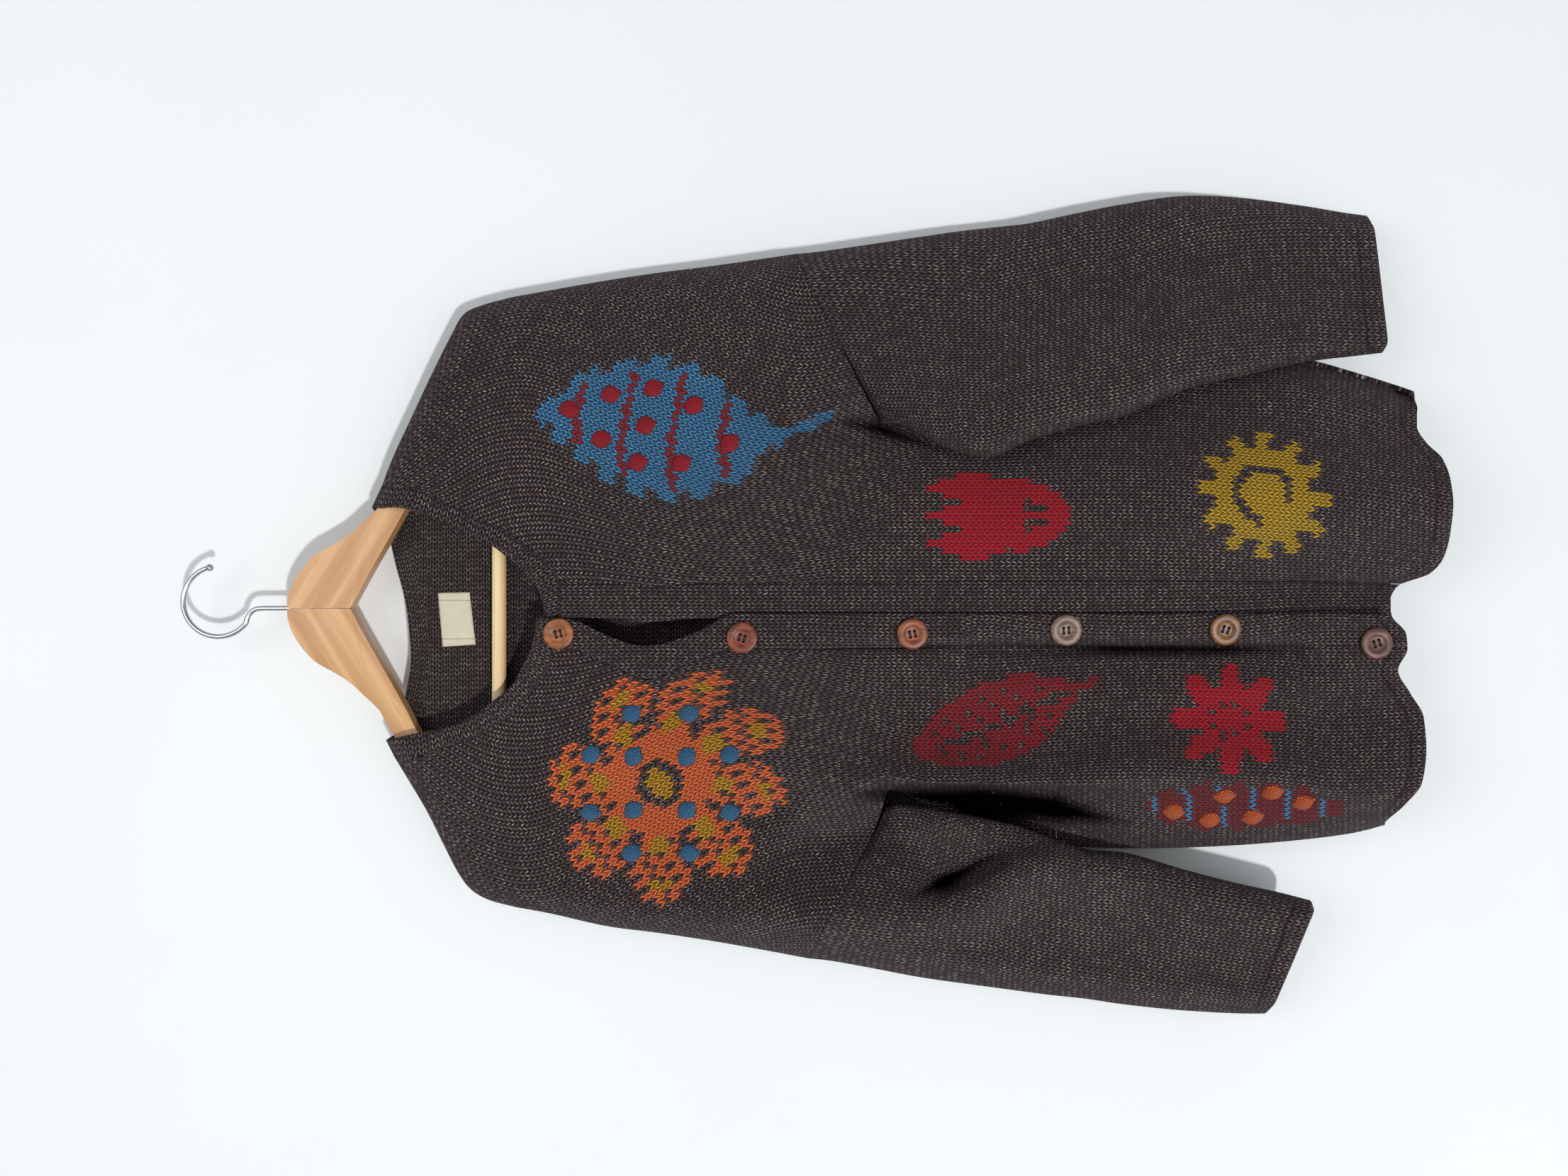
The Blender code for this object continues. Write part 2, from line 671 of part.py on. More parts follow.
def build_front(side, group, finish):
    def columns_at(t):
        return edge_columns(side, t, 10)

    def closed(t):
        return t <= FOLD_END_ROW or t >= UNDERARM_ROW

    rows = [float(r) for r in range(LAST_ROW + 1)]
    return panel(f"front_{side}", lambda t, u: front_point(side, t, u), rows, columns_at, group, finish,
                 SIGN[side], closed_last=closed)


# Where the back's first row has its points, in rows of the neck edging, so that their corners agree.
BACK_TOP_STEPS = (0, 0.25, 0.5, 0.75, 1, 1.33, 1.67, 2, 2.5, 3, 4, 5, 6, 6.5, 7, 7.25, 7.5, 7.75, 8)


def turned_place(middle, tilt, across, up):
    angle = math.radians(tilt)
    x = middle[0] + across * math.cos(angle) - up * math.sin(angle)
    z = middle[1] + across * math.sin(angle) + up * math.cos(angle)
    return x, z


def bobble_places(side):
    if side == "left":
        return [turned_place(LEAF_MIDDLE, LEAF_TILT, a, b) for a, b in LEAF_BOBBLES]
    places = [turned_place(FERN_MIDDLE, FERN_TILT, a, b) for a, b in FERN_BOBBLES]
    for radius, count, start in FLOWER_RINGS:
        for k in range(count):
            places.append(turned_place(FLOWER_MIDDLE, start + 360.0 * k / count, 0.0, radius))
    return places


def add_bobbles(side, front, helpers):
    """Low domes that are joined to a front where the line of sight to each place meets its cloth."""
    bpy.context.view_layer.update()
    cloth = BVHTree.FromObject(front, bpy.context.evaluated_depsgraph_get())
    bm = bmesh.new()
    for x, z in bobble_places(side):
        sight = (Vector((x, 0.0, z)) - EYE).normalized()
        place, normal, _, _ = cloth.ray_cast(EYE * MM, sight)
        turn = normal.to_track_quat("Z", "Y").to_matrix().to_4x4()
        size = Matrix.Diagonal((BOBBLE_RADIUS * MM, BOBBLE_RADIUS * MM, BOBBLE_HEIGHT * MM, 1.0))
        lifted = place + normal * BOBBLE_LIFT * MM
        bmesh.ops.create_icosphere(bm, subdivisions=1, radius=1.0,
                                   matrix=Matrix.Translation(lifted) @ turn @ size)
    mesh = bpy.data.meshes.new(f"bobbles_{side}")
    bm.to_mesh(mesh)
    bm.free()
    domes = bpy.data.objects.new(f"bobbles_{side}", mesh)
    helpers.objects.link(domes)
    domes.hide_render = True
    domes.display_type = "WIRE"
    cut(front, domes, "UNION")


def build_back(group, finish):
    def columns_at(t):
        if t == 0:
            first, last = BACK_TOP_LINE[0][0], BACK_TOP_LINE[-1][0]
            return [(read_row(BACK_TOP_LINE, s)[0] - first) / (last - first) for s in BACK_TOP_STEPS]
        right = edge_columns("right", t, 3)
        left = edge_columns("left", t, 3)
        wide_right = read_row(RIGHT_FRONT_ROWS, t)
        wide_left = read_row(LEFT_FRONT_ROWS, t)
        whole = wide_left[2] - wide_right[2]
        turn_right = [(1.0 - u) * abs(wide_right[2] - wide_right[0]) / whole for u in right[3:]]
        turn_left = [1.0 - (1.0 - u) * abs(wide_left[2] - wide_left[0]) / whole for u in left[3:]]
        turn_right = turn_right[::-1]
        start, end = turn_right[-1], turn_left[0]
        between = [mix(start, end, k / 10) for k in range(1, 10)]
        return turn_right + between + turn_left

    def closed(t):
        return t <= FOLD_END_ROW or t >= UNDERARM_ROW

    rows = [float(r) for r in range(LAST_ROW + 1)]
    return panel("back", back_point, rows, columns_at, group, finish, -1.0, closed_last=closed,
                 closed_first=closed)


def build_band(side, group, finish):
    trim = SEAM_GAP / 15.0
    rows = [BAND_START_ROW + trim] + [float(r) for r in range(BAND_START_ROW + 1, LAST_ROW + 1)]
    columns = [0.0, 0.33, 0.67, 1.0]
    return panel(f"band_{side}", lambda t, v: band_point(side, t, v), rows, lambda t: columns, group,
                 finish, -SIGN[side])


def build_neck_front(side, group, finish):
    rows_table = LEFT_NECK_ROWS if side == "left" else RIGHT_NECK_ROWS
    trim = SEAM_GAP / 10.0
    last = len(rows_table) - 1
    rows = list(SHOULDER_TURN) + [float(r) for r in range(1, last)] + [last - trim]
    columns = [0.0, 0.5, 1.0]
    return panel(f"neckband_{side}", lambda s, v: neck_point(side, s, v), rows, lambda s: columns, group,
                 finish, -SIGN[side], closed_rows=(0,))


def build_neck_back(group, finish):
    last = len(BACK_NECK_ROWS) - 1
    rows = list(SHOULDER_TURN) + [float(r) for r in range(1, last)]
    rows += [last - step for step in reversed(SHOULDER_TURN)]
    columns = [0.0, 0.5, 1.0]
    return panel("neckband_back", back_neck_point, rows, lambda s: columns, group, finish, -1.0,
                 closed_rows=(0, -1))


def build_sleeve(side, group, finish):
    rows_table = SLEEVE_ROWS[side]
    steps = [0.0, 0.006, 0.025, 0.06, 0.12, 0.22, 0.36, 0.5, 0.64, 0.78, 0.88, 0.94, 0.975, 0.994, 1.0]
    around = [(u, True) for u in steps] + [(u, False) for u in steps[-2:0:-1]]
    outer, inner = [], []
    line = len(rows_table) - 1.0
    for t in range(len(rows_table)):
        start = SEAM_GAP / 25.0 if t == 0 else float(t)
        ring_outer, ring_inner = [], []
        for u, front in around:
            small = 1e-6
            at = sleeve_point(side, start, u, front)
            if u in (0.0, 1.0):
                tangent = sleeve_point(side, min(start + 0.01, line), u, front)
                tangent = tangent - sleeve_point(side, max(start - 0.01, 0.0), u, front)
                normal = tangent.cross(Vector((0.0, 1.0, 0.0))).normalized()
                outwards = SIGN[side] * (1.0 if u == 1.0 else -1.0)
                if normal.x * outwards < 0:
                    normal = -normal
            else:
                def face(row, column, front=front):
                    return sleeve_point(side, row, column, front)

                normal = wall_normal(face, start, u, 1e-4, small)
                if (normal.y < 0) != front:
                    normal = -normal
            if t == 0:
                near = sleeve_point(side, start, 0.5 if u != 0.5 else 0.4, front)
                normal = without(normal, sight_plane(at, near))
            ring_outer.append(at)
            ring_inner.append(at - normal * WALL)
        outer.append(ring_outer)
        inner.append(ring_inner)
    return sheet_wall(f"sleeve_{side}", outer, inner, True, group, finish)


def from_outline(name, outline, half, bevel, group, finish):
    """A flat piece cut from a board, its outline in x and z."""
    bm = bmesh.new()
    ring = [bm.verts.new(Vector((x, -half, z)) * MM) for x, z in outline]
    face = bm.faces.new(ring)
    made = bmesh.ops.extrude_face_region(bm, geom=[face])
    moved = [item for item in made["geom"] if isinstance(item, bmesh.types.BMVert)]
    bmesh.ops.translate(bm, vec=Vector((0.0, 2 * half * MM, 0.0)), verts=moved)
    bmesh.ops.recalc_face_normals(bm, faces=bm.faces)
    mesh = bpy.data.meshes.new(name)
    bm.to_mesh(mesh)
    bm.free()
    obj = make_object(name, mesh, group, finish)
    rounded = obj.modifiers.new("Rounded edges", "BEVEL")
    rounded.width = bevel * MM
    rounded.segments = 2
    rounded.limit_method = "ANGLE"
    rounded.angle_limit = math.radians(50)
    return obj


def cutter_cylinder(name, radius, length, place, turn, group):
    bpy.ops.mesh.primitive_cylinder_add(vertices=16, radius=radius * MM, depth=length * MM)
    obj = bpy.context.object
    obj.name = name
    obj.location = Vector(place) * MM
    obj.rotation_euler = turn
    for owner in list(obj.users_collection):
        owner.objects.unlink(obj)
    group.objects.link(obj)
    obj.hide_render = True
    obj.display_type = "WIRE"
    return obj


def cut(obj, cutter, operation="DIFFERENCE"):
    made = obj.modifiers.new(cutter.name, "BOOLEAN")
    made.operation = operation
    made.object = cutter
    made.solver = "EXACT"


def build_hanger(group, helpers, wood, pale):
    across = (0.0, math.pi / 2, 0.0)
    stem_hole = cutter_cylinder("stem_hole", HOOK_WIRE + 0.3, 2 * STEM_DEPTH,
                                (HOOK_STEM_X, 0.0, -77.5), (0.0, 0.0, 0.0), helpers)
    for side, sign in SIGN.items():
        outline = [(HANGER_X + sign * (x + SEAM_GAP / 2), z) for x, z in HANGER_HALF_OUTLINE]
        arm = from_outline(f"hanger_arm_{side}", outline, WOOD_HALF, 2.5, group, wood)
        socket = cutter_cylinder(f"socket_{side}", TENON_RADIUS + 0.3, 2 * (TENON_LENGTH + 0.5),
                                 (HANGER_X + sign * BAR_HALF, 0.0, BAR_Z), across, helpers)
        cut(arm, stem_hole)
        cut(arm, socket)
    profile = [(0.0, -BAR_HALF - TENON_LENGTH), (TENON_RADIUS, -BAR_HALF - TENON_LENGTH),
               (TENON_RADIUS, -BAR_HALF + 14.0), (BAR_RADIUS, -BAR_HALF + 14.0),
               (BAR_RADIUS, BAR_HALF - 14.0), (TENON_RADIUS, BAR_HALF - 14.0),
               (TENON_RADIUS, BAR_HALF + TENON_LENGTH), (0.0, BAR_HALF + TENON_LENGTH)]
    bar = turned("hanger_bar", profile[::-1], 16, group, pale)
    bar.location = Vector((HANGER_X, 0.0, BAR_Z)) * MM
    bar.rotation_euler = across


def turned(name, profile, steps, group, finish):
    """A turned piece about its own z axis. The profile is radius and height, from top to bottom."""
    mesh = bpy.data.meshes.new(name)
    points = [(r * MM, 0.0, h * MM) for r, h in profile]
    mesh.from_pydata(points, [(k, k + 1) for k in range(len(points) - 1)], [])
    obj = make_object(name, mesh, group, finish)
    screw = obj.modifiers.new("Turned", "SCREW")
    screw.steps = steps
    screw.render_steps = steps
    screw.use_merge_vertices = True
    screw.merge_threshold = 0.0001
    screw.use_smooth_shade = False
    return obj


def build_hook(group, finish):
    curve = bpy.data.curves.new("hook", "CURVE")
    curve.dimensions = "3D"
    curve.bevel_depth = HOOK_WIRE * MM
    curve.bevel_resolution = 2
    curve.use_fill_caps = True
    centre_z = -(HOOK_RADIUS - HOOK_WIRE)
    points = [(HOOK_STEM_X, -77.5 - STEM_DEPTH + 0.5, 1.0), (HOOK_STEM_X, -66.0, 1.0),
              (HOOK_STEM_X - 0.3, -54.0, 1.0), (-7.5, -49.0, 1.0), (-12.0, -45.6, 1.0)]
    start, end, count = 232, -10, 24
    for k in range(count + 1):
        angle = math.radians(mix(start, end, k / count))
        points.append((HOOK_RADIUS * math.cos(angle), centre_z + HOOK_RADIUS * math.sin(angle), 1.0))
    tip_x, tip_z, _ = points[-1]
    for drop, thick in ((1.0, 1.35), (2.6, 1.5), (4.2, 1.35), (5.2, 0.8)):
        points.append((tip_x - 0.1 * drop, tip_z - drop, thick))
    spline = curve.splines.new("POLY")
    spline.points.add(len(points) - 1)
    for target, (x, z, thick) in zip(spline.points, points):
        target.co = (x * MM, 0.0, z * MM, 1.0)
        target.radius = thick
    obj = bpy.data.objects.new("hook", curve)
    group.objects.link(obj)
    curve.materials.append(finish)
    return obj


def band_frame(x, z):
    """The outer face's place and outward normal on the right band, seen at x, z."""
    def face(row, column):
        return in_place(column, front_y("right", column, row), row)

    normal = wall_normal(face, z, x, 0.5, 0.5)
    return face(z, x), normal if normal.y < 0 else -normal


def build_buttons(group, helpers, finish):
    half = BUTTON_THICK / 2
    profile = [(0.0, half - 1.3), (BUTTON_RADIUS * 0.5, half - 1.3), (BUTTON_RADIUS * 0.66, half),
               (BUTTON_RADIUS - BUTTON_RIM, half), (BUTTON_RADIUS, half - BUTTON_RIM),
               (BUTTON_RADIUS, -half + BUTTON_RIM), (BUTTON_RADIUS - BUTTON_RIM, -half), (0.0, -half)]
    for number, (x, z) in enumerate(BUTTON_SEATS, 1):
        seat, normal = band_frame(x, z)
        place = seat + normal * (half + 0.5)
        turn = normal.to_track_quat("Z", "Y").to_matrix().to_4x4()
        button = turned(f"button_{number}", profile, 16, group, finish)
        button.matrix_world = Matrix.Translation(place * MM) @ turn
        holes = bpy.data.meshes.new(f"holes_{number}")
        bm = bmesh.new()
        for k in range(4):
            angle = math.pi / 4 + math.pi / 2 * k
            offset = Vector((math.cos(angle), math.sin(angle), 0.0)) * BUTTON_HOLE_SPREAD * MM
            bmesh.ops.create_cone(bm, cap_ends=True, segments=6, radius1=BUTTON_HOLE * MM,
                                  radius2=BUTTON_HOLE * MM, depth=3 * BUTTON_THICK * MM,
                                  matrix=Matrix.Translation(offset))
        bm.to_mesh(holes)
        bm.free()
        cutter = bpy.data.objects.new(f"holes_{number}", holes)
        helpers.objects.link(cutter)
        cutter.matrix_world = button.matrix_world
        cutter.hide_render = True
        cutter.display_type = "WIRE"
        cut(button, cutter)


def build_label(group, finish):
    def face(row, column):
        (ax, az), (bx, bz), (cx, cz), (dx, dz) = LABEL_CORNERS
        x = mix(mix(ax, bx, row), mix(dx, cx, row), column)
        z = mix(mix(az, bz, row), mix(dz, cz, row), column)
        y = back_y(back_side(x), x, z) - WALL - SEAM_GAP - LABEL_THICK
        return in_place(x, y, z)

    steps = [k / 4 for k in range(5)]
    return panel("label", face, steps, lambda r: steps, group, finish, -1.0, thickness=LABEL_THICK)


def main():
    clear_scene()
    parts = collection("cardigan_on_hanger")
    helpers = collection("cutters")
    yarn = material("knit", "yarn", 0.95)
    for side in ("left", "right"):
        add_bobbles(side, build_front(side, parts, yarn), helpers)
        build_band(side, parts, yarn)
        build_neck_front(side, parts, yarn)
        build_sleeve(side, parts, yarn)
    build_back(parts, yarn)
    build_neck_back(parts, yarn)
    build_buttons(parts, helpers, material("button", "button", 0.35))
    build_label(parts, material("woven_label", "label", 0.8))
    build_hanger(parts, helpers, material("wood", "wood", 0.45), material("pale_wood", "bar", 0.55))
    build_hook(parts, material("steel", "steel", 0.25, 1.0))


main()
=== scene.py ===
"""A hand-knitted cardigan on its wooden hanger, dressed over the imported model.

The tables give where the outline and folds are seen from the front, in millimetres on the hanger's
own plane, by an eye EYE_DISTANCE in front of it. A point that stands nearer is moved along its line
of sight. Right and left are the wearer's, so the right front is at -X.
"""

import logging
import math
from dataclasses import dataclass, field
from enum import Enum
from typing import Callable, Sequence

import bmesh
import bpy
from mathutils import Matrix, Vector
from mathutils.bvhtree import BVHTree


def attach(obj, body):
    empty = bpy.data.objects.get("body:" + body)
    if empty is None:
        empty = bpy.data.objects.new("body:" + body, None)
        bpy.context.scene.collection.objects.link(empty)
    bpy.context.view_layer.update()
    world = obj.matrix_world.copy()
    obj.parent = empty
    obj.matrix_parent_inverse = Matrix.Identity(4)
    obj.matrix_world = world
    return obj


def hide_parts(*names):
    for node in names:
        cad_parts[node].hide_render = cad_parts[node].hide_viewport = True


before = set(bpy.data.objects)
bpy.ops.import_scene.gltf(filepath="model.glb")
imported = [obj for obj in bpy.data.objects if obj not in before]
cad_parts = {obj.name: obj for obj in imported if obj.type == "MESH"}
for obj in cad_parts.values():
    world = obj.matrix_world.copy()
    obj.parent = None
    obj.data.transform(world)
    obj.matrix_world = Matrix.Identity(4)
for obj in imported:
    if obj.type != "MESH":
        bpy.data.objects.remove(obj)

LOG = logging.getLogger("cardigan")
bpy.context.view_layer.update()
Row = Sequence[float]
Spot = tuple[float, float]
Colour = tuple[float, float, float]

MM = 0.001
EYE_DISTANCE = 900.0
EYE_X = 10.0
EYE_Z = -444.0
WALL = 3.0
SEAM_GAP = 0.3

# Rows of a front, from the shoulder's neck end to the hem. The inner end is the neck or band seam.
# Columns: inner x, inner z, outer x, outer z.
LEFT_FRONT_ROWS = [
    (84, -170, 86, -145.5),
    (78, -184, 108, -154),
    (71, -199, 138, -168),
    (62, -217, 168, -182),
    (55, -233, 196, -196),
    (46, -247, 213, -206),
    (34, -262, 220, -220),
    (16, -277, 226, -242),
    (14, -296, 231, -270),
    (13, -322, 238, -310),
    (11, -344, 244, -350),
    (13, -374, 249, -390),
    (14, -404, 254, -425),
    (14, -436, 258, -452),
    (14, -462, 228, -467),
    (14, -484, 196, -483),
    (14, -504, 164, -499),
    (14, -522, 135, -514),
    (15, -550, 141, -545),
    (16, -590, 164, -588),
    (16, -630, 181, -630),
    (16, -680, 186, -680),
    (16, -730, 186, -730),
    (15, -780, 183, -780),
    (15, -825, 177, -828),
    (14, -865, 166, -868),
    (13, -900, 154, -905),
]
RIGHT_FRONT_ROWS = [
    (-116, -172, -116, -155),
    (-110, -188, -134, -166),
    (-104, -206, -156, -179),
    (-98, -222, -180, -191),
    (-88, -238, -203, -203),
    (-76, -250, -215, -213),
    (-62, -261, -222, -226),
    (-40, -272, -227, -245),
    (-36, -288, -232, -272),
    (-48, -316, -241, -312),
    (-58, -343, -246, -350),
    (-46, -374, -252, -390),
    (-36, -404, -259, -430),
    (-35, -436, -265, -462),
    (-36, -462, -236, -477),
    (-35, -484, -207, -492),
    (-35, -504, -178, -507),
    (-35, -522, -150, -522),
    (-34, -550, -160, -550),
    (-34, -590, -174, -590),
    (-34, -630, -180, -630),
    (-34, -680, -183, -680),
    (-34, -730, -183, -730),
    (-34, -780, -181, -780),
    (-34, -825, -177, -828),
    (-33, -865, -172, -866),
    (-33, -900, -166, -890),
]
FOLD_END_ROW = 13
UNDERARM_ROW = 17
LAST_ROW = 26
HEM_START_ROW = 19

# The free edge of each front band at the same rows. Column: edge x, then edge z.
LEFT_BAND_EDGE = [(-12, -277), (-12, -296), (-13, -322), (-15, -344), (-13, -374), (-12, -404)]
LEFT_BAND_EDGE_BELOW = -11.0
RIGHT_BAND_EDGE = [(-12, -272), (-15, -291), (-27, -317), (-33, -343), (-24, -376), (-10, -404)]
RIGHT_BAND_EDGE_BELOW = -9.0
BAND_START_ROW = 7

# The neck edging. Columns: free edge x, z, seam x, z.
LEFT_NECK_ROWS = [
    (70, -138, 86, -145.5),
    (69, -162, 84, -170),
    (63, -180, 78, -184),
    (56, -196, 71, -199),
    (48, -213, 62, -217),
    (42, -226, 55, -233),
    (34, -237, 46, -247),
    (23, -250, 34, -262),
    (7, -262, 16, -277),
    (-12, -267, -12, -277),
]
RIGHT_NECK_ROWS = [
    (-103, -148.5, -116, -155),
    (-98, -170, -116, -172),
    (-95, -186, -110, -188),
    (-91, -200, -104, -206),
    (-84, -214, -98, -222),
    (-75, -226, -88, -238),
    (-64, -240, -76, -250),
    (-50, -249, -62, -261),
    (-31, -257, -40, -272),
    (-12, -260, -12, -272),
]
BACK_NECK_ROWS = [
    (-103, -148.5, -116, -155),
    (-94, -158, -104, -170),
    (-65, -164, -68, -179),
    (-45, -167, -46, -182),
    (-24, -166, -24, -181),
    (0, -163, -1, -178),
    (23, -157, 25, -172),
    (50, -150, 60, -163),
    (70, -138, 86, -145.5),
]

# Rows of a sleeve from the armhole to the cuff. Columns: inner x, z, outer x, z, how far the inner
# edge lies forward, depth of the front and of the back.
LEFT_SLEEVE_ROWS = [
    (136.5, -514.8, 258, -452, 0, 26, 13),
    (134, -520, 259.5, -468, -16, 25, 13),
    (128, -537, 264, -500, -28, 24, 13),
    (117, -557, 270, -540, -34, 22, 13),
    (109, -578, 275, -575, -38, 20, 13),
    (107, -600, 278, -602, -40, 20, 13),
    (118, -624, 281, -627, -39, 20, 13),
    (129, -660, 288, -660, -36, 20, 13),
    (138, -698, 295, -696, -33, 20, 13),
    (157, -743, 301, -738, -29, 20, 13),
    (168, -790, 300, -780, -26, 19, 13),
    (178, -834, 294, -828, -24, 18, 13),
    (182, -866, 289, -858, -22, 18, 13),
    (185, -892, 286, -880, -22, 18, 13),
]
RIGHT_SLEEVE_ROWS = [
    (-151.5, -522.8, -265, -462, 0, 26, 13),
    (-150.5, -529, -267, -480, -9, 26, 13),
    (-152, -548, -272, -508, -13, 26, 13),
    (-156, -570, -279, -545, -15, 26, 13),
    (-161, -595, -284, -580, -16, 26, 13),
    (-167, -620, -288, -610, -17, 25, 13),
    (-176, -646, -292, -640, -18, 24, 13),
    (-184, -670, -295, -668, -18, 23, 13),
    (-187, -700, -299, -695, -16, 22, 13),
    (-199, -741, -303, -732, -14, 21, 13),
    (-209, -780, -305, -762, -13, 20, 13),
    (-216, -812, -306, -785, -12, 19, 13),
    (-223, -839, -306, -804, -12, 19, 13),
]
SLEEVE_BLEND_ROWS = 3.0

# Columns: z, depth of the front, depth of the back, radius of the side's curve, depth of the side.
BODY_DEPTHS = [
    (-130, 14.5, 14, 14, 0),
    (-215, 15, 14, 15, 0),
    (-260, 18, 14, 17, 0),
    (-330, 22, 15, 22, 0),
    (-400, 27, 16, 25, 0),
    (-500, 31, 17, 26, 0),
    (-560, 34, 17, 26, 4),
    (-700, 38, 17, 26, 5),
    (-950, 40, 18, 26, 5),
]

# Each fold is a list of rows. Columns: z, x, height towards the eye, half width towards the garment's
# middle, and half width away from it.
LEFT_FRONT_FOLDS = {
    "pressed_by_sleeve": [
        (-480, 135, 0, 40, 40), (-520, 140, -20, 44, 44), (-600, 150, -27, 52, 52), (-740, 172, -25, 50, 50),
        (-840, 190, 0, 40, 40),
    ],
    "hem_lobe": [
        (-600, 96, 0, 36, 36), (-700, 88, 8, 38, 38), (-800, 80, 18, 38, 38), (-930, 74, 26, 36, 36),
    ],
    "beside_band": [
        (-740, 18, 0, 22, 22), (-820, 16, -10, 24, 24), (-930, 12, -16, 26, 26),
    ],
    "shoulder_drape": [
        (-225, 150, 0, 40, 40), (-300, 140, 5, 46, 46), (-420, 118, 7, 44, 44), (-500, 100, 0, 40, 40),
    ],
    "underarm_pull": [
        (-400, 190, 0, 30, 30), (-455, 178, 7, 30, 30), (-520, 158, 5, 26, 26), (-560, 150, 0, 24, 24),
    ],
}
RIGHT_FRONT_FOLDS = {
    "overhang": [
        (-440, -160, 0, 30, 20), (-500, -146, 16, 28, 14), (-535, -140, 27, 26, 11),
        (-575, -137, 31, 25, 11), (-612, -139, 31, 25, 11), (-655, -138, 28, 26, 12),
        (-700, -130, 25, 28, 18), (-760, -127, 23, 28, 22), (-811, -130, 22, 28, 22),
        (-856, -137, 19, 26, 20), (-930, -147, 12, 26, 20),
    ],
    "underarm_hollow": [
        (-440, -186, 0, 24, 24), (-500, -170, -22, 22, 24), (-545, -168, -38, 18, 24),
        (-600, -172, -40, 18, 24), (-650, -178, -36, 18, 20), (-700, -186, -14, 18, 18),
        (-740, -186, 0, 18, 18),
    ],
    "sleeve_ridge": [
        (-340, -222, 0, 22, 22), (-420, -229, 8, 24, 24), (-500, -233, 13, 24, 24), (-560, -233, 10, 24, 24),
    ],
    "beside_band": [
        (-560, -44, 0, 12, 12), (-610, -44, -8, 13, 13), (-700, -46, -12, 14, 14), (-800, -44, -9, 14, 14),
        (-860, -42, 0, 12, 12),
    ],
    "neck_drape": [
        (-262, -100, 0, 40, 40), (-330, -105, 6, 46, 46), (-430, -108, 6, 44, 44), (-520, -96, 0, 36, 36),
    ],
    "hem_lobe": [
        (-780, -106, 0, 24, 24), (-860, -108, 5, 24, 24), (-930, -110, 8, 24, 24),
    ],
}
BACK_FOLDS = {
    "left_drape": [(-300, 120, 0, 40, 40), (-480, 100, 4, 44, 44), (-900, 90, 6, 46, 46)],
    "middle_drape": [(-280, -20, 0, 40, 40), (-500, -14, 4, 40, 40), (-900, -10, 6, 40, 40)],
    "right_drape": [(-320, -120, 0, 40, 40), (-520, -104, 4, 42, 42), (-900, -100, 6, 42, 42)],
}
LEFT_SLEEVE_FOLDS = {
    "elbow_crease": [
        (-560, 150, 0, 22, 22), (-620, 165, 6, 26, 26), (-700, 192, 6, 28, 28), (-780, 215, 0, 26, 26),
    ],
    "outer_trough": [
        (-560, 235, 0, 24, 24), (-680, 248, -5, 26, 26), (-820, 250, -4, 26, 26), (-880, 246, 0, 24, 24),
    ],
}
RIGHT_SLEEVE_FOLDS = {
    "ridge": [
        (-462, -231, 12, 24, 24), (-513, -234, 14, 24, 24), (-555, -233, 15, 24, 24),
        (-590, -222, 14, 24, 24),
        (-620, -203, 10, 24, 24), (-665, -196, 4, 22, 22), (-720, -206, 0, 22, 22),
    ],
    "inner_hollow": [
        (-500, -180, -8, 26, 26), (-555, -186, -16, 28, 28), (-600, -178, -16, 24, 24),
        (-640, -172, -7, 20, 20),
        (-670, -176, 0, 20, 20),
    ],
    "pocket": [(-535, -200, 0, 17, 17), (-570, -198, -8, 18, 18), (-608, -196, 0, 17, 17)],
}

# How far the cloth under the overhanging fold is tucked back below it. Columns: z, tuck.
OVERHANG_TUCK = [(-480, 0), (-540, 12), (-640, 12), (-700, 3), (-730, 0)]
OVERHANG_TUCK_X = -152.0
OVERHANG_TUCK_WIDTH = 12.0

# The front hem as seen. Columns: x, z.
HEM_LINE = [
    (-175, -886), (-166, -889), (-152, -904), (-134, -918), (-110, -921), (-86, -919), (-68, -909),
    (-51, -900), (-35, -907), (-24, -906), (-10, -895), (0, -894), (11, -899), (21, -924), (33, -934),
    (52, -939), (73, -941), (90, -939), (106, -933), (118, -921), (130, -914), (144, -914), (154, -909),
]
BACK_HEM = -893.0

OVERLAP_STEP = 5.0
OVERLAP_WIDTH = 60.0

BUTTON_SEATS = [(-24, -277), (-27, -413), (-24, -539), (-21, -653), (-20.5, -771), (-31, -883)]
BUTTON_RADIUS = 11.2
BUTTON_THICK = 3.6
BUTTON_HOLE = 1.25
BUTTON_HOLE_SPREAD = 2.6

LABEL_CORNERS = [(6.3, -187), (6.8, -210.5), (-32, -215), (-33.7, -190.5)]

# Knitted bobbles on the picture motifs: rings on the flower, and places on the leaf and the fern that
# are measured across and up from the motif's middle.
FLOWER_MIDDLE = (-135.0, -352.0)
FLOWER_RINGS = [(56.0, 8, 22.5), (28.0, 4, 45.0)]
LEAF_MIDDLE = (130.0, -345.0)
LEAF_TILT = -12.0
LEAF_BOBBLES = [
    (0, 62), (-17, 34), (17, 34), (-28, 4), (0, 4), (28, 4), (-22, -28), (22, -28), (0, -60),
]
FERN_MIDDLE = (-152.0, -785.0)
FERN_TILT = 4.0
FERN_BOBBLES = [(0, 52), (-8, 26), (9, 14), (-8, -6), (9, -22), (0, -44)]

